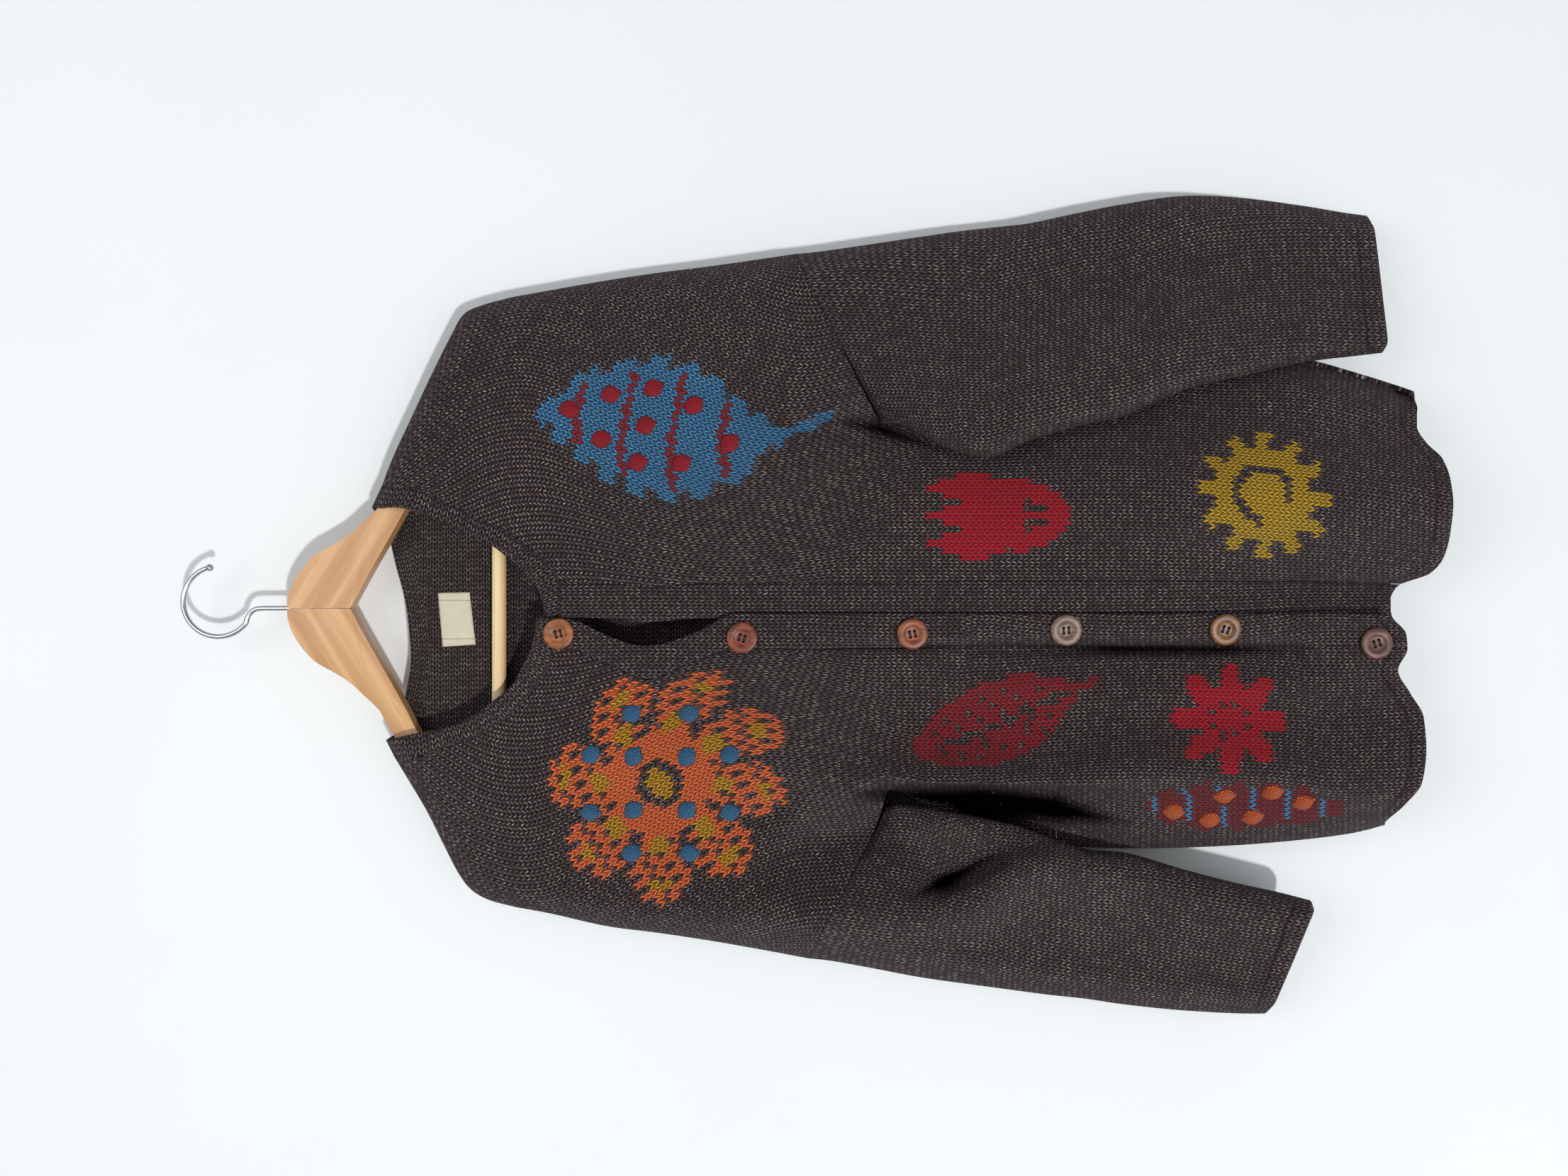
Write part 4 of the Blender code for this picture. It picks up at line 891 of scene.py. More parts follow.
@dataclass
class Knitwear:
    """The cardigan: its knitted panels, which ride on the frame and stand for its nodes."""

    step: float = 3.0
    panels: dict[str, Panel] = field(default_factory=dict)
    made: dict[str, bpy.types.Object] = field(default_factory=dict)

    def rows_of(self, first: float, last: float, length: float) -> list[float]:
        """Places down a panel, about a step apart."""
        return even(round(length / self.step), first, last)

    def plan(self) -> None:
        """Lists the panels."""
        for side in Side:
            word = side.word
            width = 215.0
            columns = turned_edge(width, 26.0, round(width / self.step))
            self.add(Panel(f"knit_front_{word}", f"front_{word}", lambda t, u, s=side: front_point(s, t, u),
                           columns, self.rows_of(0.0, LAST_ROW, 760.0), side.value,
                           lambda t, u, s=side: front_place(s, t, u), side))
            self.add(Panel(f"knit_band_{word}", f"band_{word}",
                           lambda t, v, s=side: self.band_point(s, t, v), even(9),
                           self.rows_of(BAND_START_ROW + 0.02, LAST_ROW, 630.0), -side.value,
                           lambda t, v, s=side: band_place(s, t, v)))
            rows = NECK_ROWS[side]
            self.add(Panel(f"knit_neck_{word}", f"neckband_{word}",
                           lambda s, v, r=rows, w=side: self.neck_point(w, r, s, v), even(5),
                           self.rows_of(0.0, len(rows) - 1.03, 160.0), -side.value,
                           lambda s, v, r=rows: neck_place(r, s, v), edging=True))
            half = turned_edge(60.0, 20.0, 14, 7)
            ring = ring_places([0.5 - u / 2 for u in half[::-1]] + [0.5 + u / 2 for u in half[1:]])
            self.add(Panel(f"knit_sleeve_{word}", f"sleeve_{word}",
                           lambda t, w, s=side: self.sleeve_round(s, t, w), ring,
                           [-1.0, *self.rows_of(SLEEVE_START, len(SLEEVE_ROWS[side]) - 1.0, 430.0)],
                           side.value,
                           lambda t, w: (0.0, 0.0), ring=True, origin_column=len(ring) // 4))
        half = turned_edge(250.0, 20.0, round(250.0 / (self.step * 1.25)))
        across = [0.5 - u / 2 for u in half[::-1]] + [0.5 + u / 2 for u in half[1:]]
        self.add(Panel("knit_back", "back", self.back_point, across, self.rows_of(0.0, LAST_ROW, 620.0), -1,
                       back_place, origin_column=len(across) // 2))
        self.add(Panel("knit_neck_back", "neckband_back",
                       lambda s, v: self.neck_back_point(s, v), even(5),
                       self.rows_of(0.0, 8.0, 210.0), -1, lambda s, v: neck_place(BACK_NECK_ROWS, s, v),
                       edging=True))

    def add(self, panel: Panel) -> None:
        """Puts a panel on the list."""
        self.panels[panel.name] = panel

    def back_point(self, t: float, u: float) -> Vector:
        """A point of the back's outer face."""
        x, z = back_place(t, u)
        return in_place(x, back_y(back_side(x), x, z), z)

    def band_point(self, side: Side, t: float, v: float) -> Vector:
        """A point of a front band, a little proud of the front beside it."""
        x, z = band_place(side, t, v)
        return in_place(x, front_y(side, x, z) - 0.6 * math.sin(math.pi * v), z)

    def neck_point(self, side: Side, rows: Sequence[Row], s: float, v: float) -> Vector:
        """A point of the front's neck edging, which rolls over a little."""
        x, z = neck_place(rows, s, v)
        return in_place(x, front_y(side, x, z) - 1.2 * math.sin(math.pi * v), z)

    def neck_back_point(self, s: float, v: float) -> Vector:
        """A point of the back's neck edging."""
        x, z = neck_place(BACK_NECK_ROWS, s, v)
        return in_place(x, back_y(back_side(x), x, z) + 1.2 * math.sin(math.pi * v) - 0.25,
                        z - 0.9 * (1.0 - v))

    def sleeve_round(self, side: Side, t: float, w: float) -> Vector:
        """A point of a sleeve's ring, w from 0 at the inner edge over the front to 1 there again.

        The ring before the first is the seam's allowance, which lies under the body's edge.
        """
        front = w <= 0.5
        u = w * 2 if front else 2 - w * 2
        if t >= SLEEVE_START:
            last = len(SLEEVE_ROWS[side]) - 1.0
            corner = max(abs(2 * u - 1) - 0.8, 0.0) / 0.2
            return sleeve_point(side, t - 0.16 * corner ** 3 * max(1.0 - (last - t) / 0.6, 0.0), u, front)
        first, next_one = (sleeve_point(side, SLEEVE_START + step, u, front) for step in (0.0, 0.1))
        return first + (first - next_one).normalized() * 2.4 + Vector((0.0, 1.3 if front else -1.3, 0.0))

    def build(self) -> None:
        """Makes each panel, dresses it and hides the imported part that it stands for."""
        knit = KnitFinish()
        plain = knit.material("charcoal_knit")
        inside = knit.material("charcoal_purl", purl=True)
        for name, panel in self.panels.items():
            obj = panel.build()
            thicken(obj, WALL, 1)
            obj.data.materials.append(knit.material(f"{name}_picture", panel) if panel.side else plain)
            obj.data.materials.append(inside)
            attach(obj, "root")
            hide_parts(panel.node)
            self.made[name] = obj
            LOG.info("%s has %d faces", name, len(obj.data.polygons))


def ring_places(around: list[float]) -> list[float]:
    """Places round a tube, from places across its flat front."""
    front = [u / 2 for u in around]
    return front + [1.0 - w for w in front[-2::-1]]


class Term:
    """A number that a material works out, which can be written into a formula."""

    def __init__(self, tree: bpy.types.NodeTree, socket: bpy.types.NodeSocket) -> None:
        """Keeps the socket that gives the number."""
        self.tree = tree
        self.socket = socket

    def make(self, operation: str, *others: "Term | float", first: "Term | float | None" = None) -> "Term":
        """Adds a math node.

        Args:
            operation: Blender's name for it.
            others: Its other values.
            first: Its first value, if that isn't this term.

        Returns:
            The result.
        """
        node = self.tree.nodes.new("ShaderNodeMath")
        node.operation = operation
        for slot, value in zip(node.inputs, (self if first is None else first, *others)):
            if isinstance(value, Term):
                self.tree.links.new(value.socket, slot)
            else:
                slot.default_value = float(value)
        return Term(self.tree, node.outputs[0])

    def __add__(self, other: "Term | float") -> "Term":
        """The sum."""
        return self.make("ADD", other)

    __radd__ = __add__

    def __sub__(self, other: "Term | float") -> "Term":
        """The difference."""
        return self.make("SUBTRACT", other)

    def __rsub__(self, other: float) -> "Term":
        """The difference the other way."""
        return self.make("SUBTRACT", self, first=other)

    def __mul__(self, other: "Term | float") -> "Term":
        """The product."""
        return self.make("MULTIPLY", other)

    __rmul__ = __mul__

    def __truediv__(self, other: "Term | float") -> "Term":
        """The quotient."""
        return self.make("DIVIDE", other)

    def __neg__(self) -> "Term":
        """The number below nothing."""
        return self.make("MULTIPLY", -1.0)

    def __pow__(self, other: float) -> "Term":
        """The power."""
        return self.make("POWER", other)

    def __abs__(self) -> "Term":
        """The size without its sign."""
        return self.make("ABSOLUTE")

    def floor(self) -> "Term":
        """The whole number below."""
        return self.make("FLOOR")

    def fract(self) -> "Term":
        """What is over a whole number."""
        return self.make("FRACT")

    def sin(self) -> "Term":
        """The sine."""
        return self.make("SINE")

    def cos(self) -> "Term":
        """The cosine."""
        return self.make("COSINE")

    def root(self) -> "Term":
        """The square root."""
        return self.make("SQRT")

    def most(self, other: "Term | float") -> "Term":
        """The larger of the two."""
        return self.make("MAXIMUM", other)

    def least(self, other: "Term | float") -> "Term":
        """The smaller of the two."""
        return self.make("MINIMUM", other)

    def under(self, other: "Term | float") -> "Term":
        """1 where this is the smaller."""
        return self.make("LESS_THAN", other)

    def over(self, other: "Term | float") -> "Term":
        """1 where this is the larger."""
        return self.make("GREATER_THAN", other)

    def angle(self, other: "Term") -> "Term":
        """The angle whose tangent is this over the other."""
        return self.make("ARCTAN2", other)

    def ease(self, low: float, high: float) -> "Term":
        """0 below low and 1 above high, or the other way if high is the smaller."""
        return ((self - low) / (high - low)).most(0.0).least(1.0)


def link(tree: bpy.types.NodeTree, value: Term | bpy.types.NodeSocket | Sequence[float] | float,
         slot: bpy.types.NodeSocket) -> None:
    """Sets a slot from a term, another socket, a colour or a number."""
    if isinstance(value, Term):
        value = value.socket
    if isinstance(value, bpy.types.NodeSocket):
        tree.links.new(value, slot)
    elif isinstance(value, (int, float)):
        slot.default_value = float(value)
    else:
        slot.default_value = (*value, 1.0) if len(value) == 3 else value


def linear(colour: Sequence[int]) -> Colour:
    """A colour of 0 to 255 as a shader takes it."""
    parts = [c / 255 for c in colour]
    return tuple(c / 12.92 if c <= 0.04045 else ((c + 0.055) / 1.055) ** 2.4 for c in parts)


def tint(tree: bpy.types.NodeTree, share: Term | float, a: object, b: object,
         way: str = "MIX") -> bpy.types.NodeSocket:
    """A colour mixed from a to b.

    Args:
        tree: The material's nodes.
        share: How far to go towards b.
        a: A colour or the socket of one.
        b: Another.
        way: Blender's name for how they mix.

    Returns:
        The mixed colour's socket.
    """
    node = tree.nodes.new("ShaderNodeMix")
    node.data_type = "RGBA"
    node.blend_type = way
    link(tree, share, node.inputs[0])
    link(tree, a, node.inputs[6])
    link(tree, b, node.inputs[7])
    return node.outputs[2]


def noise(tree: bpy.types.NodeTree, vector: bpy.types.NodeSocket, scale: float, detail: float = 2.0) -> Term:
    """Soft noise from 0 to 1."""
    node = tree.nodes.new("ShaderNodeTexNoise")
    link(tree, vector, node.inputs["Vector"])
    node.inputs["Scale"].default_value = scale
    node.inputs["Detail"].default_value = detail
    return Term(tree, node.outputs[0])


def joined(tree: bpy.types.NodeTree, x: Term | float, y: Term | float,
           z: Term | float = 0.0) -> bpy.types.NodeSocket:
    """A vector from three numbers."""
    node = tree.nodes.new("ShaderNodeCombineXYZ")
    for value, slot in zip((x, y, z), node.inputs):
        link(tree, value, slot)
    return node.outputs[0]


def split(tree: bpy.types.NodeTree, vector: bpy.types.NodeSocket) -> list[Term]:
    """A vector's three numbers."""
    node = tree.nodes.new("ShaderNodeSeparateXYZ")
    tree.links.new(vector, node.inputs[0])
    return [Term(tree, out) for out in node.outputs]


def chance(tree: bpy.types.NodeTree, x: Term, y: Term) -> Term:
    """An even chance from 0 to 1 for each pair of whole numbers."""
    node = tree.nodes.new("ShaderNodeTexWhiteNoise")
    node.noise_dimensions = "2D"
    tree.links.new(joined(tree, x, y), node.inputs["Vector"])
    return Term(tree, node.outputs["Value"])


def new_group(name: str, inputs: Sequence[str], outputs: Sequence[str]) -> bpy.types.NodeTree:
    """A node group with number sockets, but for names that end in vector or colour."""
    tree = bpy.data.node_groups.new(name, "ShaderNodeTree")
    for names, way in ((inputs, "INPUT"), (outputs, "OUTPUT")):
        for word in names:
            kind = {"vector": "NodeSocketVector", "colour": "NodeSocketColor"}.get(
                word.split()[-1], "NodeSocketFloat")
            tree.interface.new_socket(word, in_out=way, socket_type=kind)
    return tree


def place_group(tree: bpy.types.NodeTree, group: bpy.types.NodeTree, **values: object) -> bpy.types.Node:
    """Puts a group in a material.

    Args:
        tree: The material's nodes.
        group: The group.
        values: Its inputs, with an underscore for each space in a name.

    Returns:
        The group's node.
    """
    node = tree.nodes.new("ShaderNodeGroup")
    node.node_tree = group
    for word, value in values.items():
        link(tree, value, node.inputs[word.replace("_", " ")])
    return node


def stockinette(wale: float, course: float, lean: float) -> bpy.types.NodeTree:
    """The group of one knitted fabric: columns of V stitches.

    Args:
        wale: A stitch's width in millimetres.
        course: A stitch's height.
        lean: How far, in stitches, a leg rises from the V's point to its top.

    Returns:
        The group. Height is the relief, column and row number the stitch, middle vector is its place
        in the knitting, fibre is a fine noise along the yarn, and heather is a chance for each leg.
    """
    tree = new_group("stockinette", ["knit vector"],
                     ["height", "column", "row", "middle vector", "fibre", "heather"])
    source = tree.nodes.new("NodeGroupInput")
    result = tree.nodes.new("NodeGroupOutput")
    wander = noise(tree, source.outputs[0], 0.11, 1.0) - 0.5
    p, q, _ = split(tree, source.outputs[0])
    across = p / wale + wander * 0.16
    column = across.floor()
    half = abs(across.fract() - 0.5)
    shift = chance(tree, column, column * 0.0 + 7.0) * 0.35
    up = q / course + wander * 0.3 - half * (2.0 * lean) + shift
    row = up.floor()
    share = up.fract()
    body = 1.0 - abs(share - 0.5) * 2.0
    leg = 1.0 - abs(half - 0.26) * 4.0
    height = (body.most(0.0) ** 0.7) * (leg.most(0.0) ** 0.4)
    fibre_place = joined(tree, across * 2.0 + share * 0.7, up * 5.0 + half * 8.0)
    fibre = noise(tree, fibre_place, 1.6, 3.0)
    middle = joined(tree, (column + 0.5) * wale, (row + 0.5 - shift + lean * 0.5) * course)
    heather = chance(tree, column + half.over(0.26) * 0.37, row)
    for term, slot in zip((height, column, row, middle, fibre, heather), result.inputs):
        link(tree, term, slot)
    return tree


@dataclass(frozen=True)
class Yarn:
    """A dyed yarn in 0 to 255: its body, its pale flecks, partly painted highlight, and its painted shade for
    the gaps.
    """

    body: tuple[int, int, int]
    fleck: tuple[int, int, int]
    gap: tuple[int, int, int]


class Yarns(Enum):
    """The cardigan's yarns."""

    CHARCOAL = Yarn((84, 62, 62), (252, 230, 224), (9, 3, 5))
    MADDER = Yarn((172, 28, 42), (206, 76, 84), (84, 10, 18))
    CRIMSON = Yarn((214, 10, 44), (236, 60, 84), (118, 2, 18))
    BLUE = Yarn((74, 148, 198), (160, 208, 234), (24, 64, 98))
    ORANGE = Yarn((250, 128, 68), (255, 176, 122), (160, 58, 22))
    MUSTARD = Yarn((226, 170, 26), (244, 206, 84), (120, 78, 6))
    YELLOW = Yarn((224, 184, 30), (244, 214, 84), (116, 84, 6))
    WINE = Yarn((142, 20, 34), (172, 60, 70), (62, 6, 12))


Layer = tuple[Term, Yarns]


@dataclass(frozen=True)
class Motif:
    """A picture in the knitting, worked stitch by stitch.

    Its place and tilt are those that are seen, and its sizes are in millimetres.
    """

    middle: Spot
    tilt: float
    wide: float
    tall: float
    draw: Callable[["Motif", Term, Term, Term, Term], list[Layer]]

    def layers(self, panel: Panel, tree: bpy.types.NodeTree, stitch: bpy.types.Node) -> list[Layer]:
        """The motif's masks and yarns, the later ones on top.

        Args:
            panel: The panel that it is knitted into.
            tree: The material's nodes.
            stitch: The fabric's group.

        Returns:
            Each layer's mask and yarn.
        """
        p, q = panel.knit_at(*self.middle)
        turn = TURNS[panel.side]
        angle = math.radians(self.tilt + turn.angle_at(p, q))
        cp, cq = turn.apply(p, q)
        x, y, _ = split(tree, stitch.outputs["middle vector"])
        dx, dy = x - cp, y - cq
        a = dx * math.cos(angle) + dy * math.sin(angle)
        b = dy * math.cos(angle) - dx * math.sin(angle)
        column = Term(tree, stitch.outputs["column"])
        row = Term(tree, stitch.outputs["row"])
        return self.draw(self, a, b, column, row)


def inside(value: Term, low: float, high: float) -> Term:
    """1 where a value lies between two others."""
    return value.over(low) * value.under(high)


def draw_flower(motif: Motif, a: Term, b: Term, column: Term, row: Term) -> list[Layer]:
    """Eight flecked petals about a dark middle, with a mustard bar in each."""
    out = (a * a + b * b).root() / motif.wide
    angle = b.angle(a)
    petal = abs((angle * 4.0).cos())
    body = out.under(petal ** 0.55 * 0.4 + 0.6) * out.over(0.2) * (petal.over(0.2)).most(out.under(0.42))
    flecks = ((column + row * 0.5) / 2.0).fract().under(0.3) * (row / 3.0).fract().under(0.4) * out.over(0.45)
    bars = inside(out, 0.44, 0.6) * petal.over(0.86)
    tips = inside(out, 0.8, 0.88) * petal.over(0.93)
    heart = out.under(0.12)
    return [(body, Yarns.ORANGE), (body * flecks, Yarns.CHARCOAL), (bars, Yarns.MUSTARD),
            (tips, Yarns.MUSTARD), (heart, Yarns.MUSTARD)]


def draw_barred_leaf(motif: Motif, a: Term, b: Term, column: Term, row: Term) -> list[Layer]:
    """A broad leaf with a stepped edge, three bars across and a short stalk."""
    up = b / (motif.tall / 2)
    width = (1.0 - up * up).most(0.0) * (motif.wide / 2) * (1.0 - up * 0.2)
    notch = (row / 5.0).fract().over(0.6) * 7.0
    body = abs(a).under(width - notch) * abs(up).under(1.0)
    stalk = abs(a + b * 0.12 + 10.0).under(5.0) * inside(up, -1.28, -0.9)
    bars = (b / 36.0 + 0.0).fract()
    bars = inside(bars, 0.47, 0.62) * abs(a).under(width - 9.0) * abs(up).under(0.7)
    return [(body.most(stalk), Yarns.BLUE), (bars, Yarns.MADDER)]


def draw_veined_leaf(motif: Motif, a: Term, b: Term, column: Term, row: Term) -> list[Layer]:
    """A pointed leaf with a vein in the ground's yarn."""
    up = b / (motif.tall / 2)
    width = (1.0 - up * up).most(0.0) ** 0.8 * (motif.wide / 2)
    body = abs(a).under(width) * abs(up).under(1.0)
    side = (b / 17.0 - abs(a) / 20.0).fract().under(0.2) * abs(a).under(width - 6.0) * abs(up).under(0.75)
    vein = abs(a).under(2.4) * up.under(0.7)
    stalk = abs(a).under(3.0) * inside(up, -1.25, -0.95)
    return [(body.most(stalk), Yarns.MADDER), ((side.most(vein)) * body, Yarns.CHARCOAL)]


def draw_star(motif: Motif, a: Term, b: Term, column: Term, row: Term) -> list[Layer]:
    """An eight-pointed star with a gap at its middle."""
    out = (a * a + b * b).root() / (motif.wide / 2)
    point = abs((b.angle(a) * 4.0).cos())
    body = out.under(point * 0.5 + 0.5)
    spokes = point.under(0.3) * inside(out, 0.0, 0.36)
    return [(body, Yarns.CRIMSON), (spokes, Yarns.CHARCOAL)]


def draw_fern(motif: Motif, a: Term, b: Term, column: Term, row: Term) -> list[Layer]:
    """A tall toothed leaf with broken blue bars."""
    up = b / (motif.tall / 2)
    tooth = (b / 25.0 + a * 0.004).fract() * 9.0
    width = (1.0 - up ** 2.0).most(0.0) ** 0.5 * (motif.wide / 2) + 4.0
    body = abs(a).under(width - tooth) * abs(up).under(1.0)
    bars = (inside((b / 25.0 + 0.42).fract(), 0.0, 0.15) * abs(a).under(width - 7.0)
            * (column / 2.0).fract().under(0.7))
    return [(body, Yarns.WINE), (bars * body, Yarns.BLUE)]


def draw_tulip(motif: Motif, a: Term, b: Term, column: Term, row: Term) -> list[Layer]:
    """A tulip with three points, a stalk and two leaves."""
    half = motif.wide / 2
    cup_a, cup_b = a / (half * 0.62), (b - motif.tall * 0.1) / (motif.tall * 0.3)
    cup = (cup_a * cup_a + cup_b * cup_b).under(1.0) * b.under(motif.tall * 0.2)
    cup = cup.most(inside(b, motif.tall * 0.08, motif.tall * 0.2) * abs(a).under(half * 0.62))
    points = abs((a / (half * 0.41) + 0.5).fract() - 0.5) * motif.tall * 0.5
    top = inside(b, motif.tall * 0.18, motif.tall * 0.48) * abs(a).under(half * 0.62)
    top = top * b.under(motif.tall * 0.47 - points)
    stalk = abs(a).under(3.6) * inside(b, -motif.tall / 2, 0.0)
    leaf_b = (b + motif.tall * 0.3) / (motif.tall * 0.2)
    leaf_a = (abs(a) - 6.0 - (leaf_b + 1.0) * 9.0) / 8.0
    leaves = (leaf_a * leaf_a + leaf_b * leaf_b).under(1.0)
    return [(cup.most(top).most(stalk).most(leaves), Yarns.CRIMSON)]


def draw_sun(motif: Motif, a: Term, b: Term, column: Term, row: Term) -> list[Layer]:
    """A round sun with twelve short rays and an open ring."""
    out = (a * a + b * b).root() / (motif.wide / 2)
    ray = (b.angle(a) * 12.0).cos()
    body = out.under(0.74).most(ray.over(0.15) * out.under(1.0))
    ring = inside(out, 0.34, 0.46) * (b.angle(a) + 2.2).over(0.5)
    return [(body, Yarns.YELLOW), (ring, Yarns.CHARCOAL)]


MOTIFS = {
    Side.RIGHT: [
        Motif(FLOWER_MIDDLE, 0.0, 88.0, 88.0, draw_flower),
        Motif((-92.0, -600.0), 20.0, 62.0, 132.0, draw_veined_leaf),
        Motif((-88.0, -775.0), 0.0, 86.0, 86.0, draw_star),
        Motif(FERN_MIDDLE, FERN_TILT, 44.0, 150.0, draw_fern),
    ],
    Side.LEFT: [
        Motif(LEAF_MIDDLE, LEAF_TILT, 104.0, 190.0, draw_barred_leaf),
        Motif((64.0, -600.0), 0.0, 100.0, 112.0, draw_tulip),
        Motif((80.0, -800.0), 0.0, 98.0, 98.0, draw_sun),
    ],
}


@dataclass
class KnitFinish:
    """The woollen fabrics of the cardigan, which share one stitch."""

    wale: float = 5.0
    course: float = 4.3
    lean: float = 1.0
    roughness: float = 0.95
    relief: float = 2.4
    sheen: float = 0.06

    def group(self) -> bpy.types.NodeTree:
        """The stitch's node group, made once."""
        return bpy.data.node_groups.get("stockinette") or stockinette(self.wale, self.course, self.lean)

    def material(self, name: str, panel: Panel | None = None, purl: bool = False,
                 yarn: Yarns = Yarns.CHARCOAL, fine: float = 1.0) -> bpy.types.Material:
        """A knitted material.

        Args:
            name: Its name.
            panel: The panel whose motifs it shows, if any.
            purl: True for the inner face, with its rows of purl bumps.
            yarn: The ground's yarn.
            fine: How much smaller the stitches are than the cardigan's.

        Returns:
            The material.
        """
        made, tree, shader = new_material(name)
        source = tree.nodes.new("ShaderNodeUVMap")
        source.uv_map = "knit"
        place = source.outputs[0]
        if fine != 1.0 or purl:
            x, y, _ = split(tree, place)
            place = joined(tree, *((y * 1.2, x * 1.2) if purl else (x * fine, y * fine)))
        stitch = place_group(tree, self.group(), knit_vector=place)
        height = Term(tree, stitch.outputs["height"])
        heather = Term(tree, stitch.outputs["heather"])
        fibre = Term(tree, stitch.outputs["fibre"])
        layers = []
        for motif in MOTIFS.get(panel.side, []) if panel and panel.side else []:
            layers += motif.layers(panel, tree, stitch)
        body, fleck, gap = (linear(c) for c in (yarn.value.body, yarn.value.fleck, yarn.value.gap))
        for mask, worked in layers:
            body = tint(tree, mask, body, linear(worked.value.body))
            fleck = tint(tree, mask, fleck, linear(worked.value.fleck))
            gap = tint(tree, mask, gap, linear(worked.value.gap))
        patches = noise(tree, place, 0.012, 2.0)
        # The pale flecks sit only on the crests of the stitch legs: partly the yarn's pale heather fibres,
        # partly a painted highlight on each crest.
        crest = height.ease(0.5, 0.95)
        flecks = crest * (heather * heather * 0.9 + 0.08) * fibre.ease(0.36, 0.6)
        shade = tint(tree, flecks, body, fleck)
        # Painted shade: the low parts of each stitch take the yarn's near-black colour for the gaps.
        shade = tint(tree, (1.0 - height).ease(0.2, 0.7), shade, gap)
        shade = tint(tree, patches.ease(0.35, 0.7) * 0.25, shade, (0.55, 0.5, 0.5), "MULTIPLY")
        trim = tree.nodes.new("ShaderNodeAttribute")
        trim.attribute_name = "trim"
        hem = Term(tree, trim.outputs["Fac"])
        groove = 1.0 - (1.0 - abs(hem - 12.0) / 2.6).most(0.0) * 0.9
        fuzz = noise(tree, place, 1.9, 2.0)
        relief = height * groove + fuzz * 0.22
        # Painted shade in the groove near the hem, on top of its bump.
        shade = tint(tree, (1.0 - groove) * 0.85, shade, gap)
        # Painted shade: inside the dark strokes the colour goes near black and the specular and sheen fade,
        # standing in for shade that the folds don't cast.
        depth = tree.nodes.new("ShaderNodeAttribute")
        depth.attribute_name = "hollow"
        lit = 1.0 - Term(tree, depth.outputs["Fac"])
        shade = tint(tree, lit, linear((5, 3, 4)), shade)
        link(tree, shade, shader.inputs["Base Color"])
        link(tree, lit * 0.2, shader.inputs["Specular IOR Level"])
        link(tree, lit * self.sheen, shader.inputs["Sheen Weight"])
        bump_node = tree.nodes.new("ShaderNodeBump")
        bump_node.inputs["Strength"].default_value = 0.9
        bump_node.inputs["Distance"].default_value = self.relief * MM / fine
        link(tree, relief, bump_node.inputs["Height"])
        link(tree, bump_node.outputs[0], shader.inputs["Normal"])
        shader.inputs["Roughness"].default_value = self.roughness
        shader.inputs["Sheen Roughness"].default_value = 0.6
        return made

    def fluff(self) -> bpy.types.Material:
        """The finish of loose hairs."""
        made, tree, shader = new_material("loose_fibre")
        place = object_place(tree)
        charcoal = Yarns.CHARCOAL.value
        shade = tint(tree, noise(tree, place, 60.0, 1.0), linear(charcoal.body), linear(charcoal.fleck))
        link(tree, shade, shader.inputs["Base Color"])
        shader.inputs["Roughness"].default_value = 0.9
        return made


def new_material(name: str) -> tuple[bpy.types.Material, bpy.types.NodeTree, bpy.types.Node]:
    """A material with its nodes and its Principled shader."""
    made = bpy.data.materials.new(name)
    made.use_nodes = True
    return made, made.node_tree, made.node_tree.nodes["Principled BSDF"]


def object_place(tree: bpy.types.NodeTree) -> bpy.types.NodeSocket:
    """The Object coordinates of the piece that a material is on."""
    return tree.nodes.new("ShaderNodeTexCoord").outputs["Object"]


def baked(obj: bpy.types.Object, name: str) -> bpy.types.Object:
    """A new object with the mesh that a modified one shows, in place of that one."""
    bpy.context.view_layer.update()
    shown = obj.evaluated_get(bpy.context.evaluated_depsgraph_get())
    mesh = bpy.data.meshes.new_from_object(shown)
    mesh.transform(obj.matrix_world)
    mesh.name = name
    bpy.data.objects.remove(obj)
    made = bpy.data.objects.new(name, mesh)
    bpy.context.scene.collection.objects.link(made)
    return made


def bored(obj: bpy.types.Object, name: str,
          bores: Sequence[tuple[Vector, Vector, float, float]]) -> bpy.types.Object:
    """Cuts round holes in a piece.

    Args:
        obj: The piece.
        name: The finished piece's name.
        bores: Each hole's middle, direction, radius and length, in metres.

    Returns:
        The cut piece, which takes the first one's place.
    """
    bm = bmesh.new()
    for middle, way, radius, length in bores:
        turn = way.to_track_quat("Z", "Y").to_matrix().to_4x4()
        bmesh.ops.create_cone(bm, cap_ends=True, segments=20, radius1=radius, radius2=radius, depth=length,
                              matrix=Matrix.Translation(middle) @ turn)
    cutter = finish_mesh(f"{name}_cutter", bm)
    cut = obj.modifiers.new("Holes", "BOOLEAN")
    cut.operation = "DIFFERENCE"
    cut.object = cutter
    cut.solver = "EXACT"
    made = baked(obj, name)
    bpy.data.objects.remove(cutter)
    return made


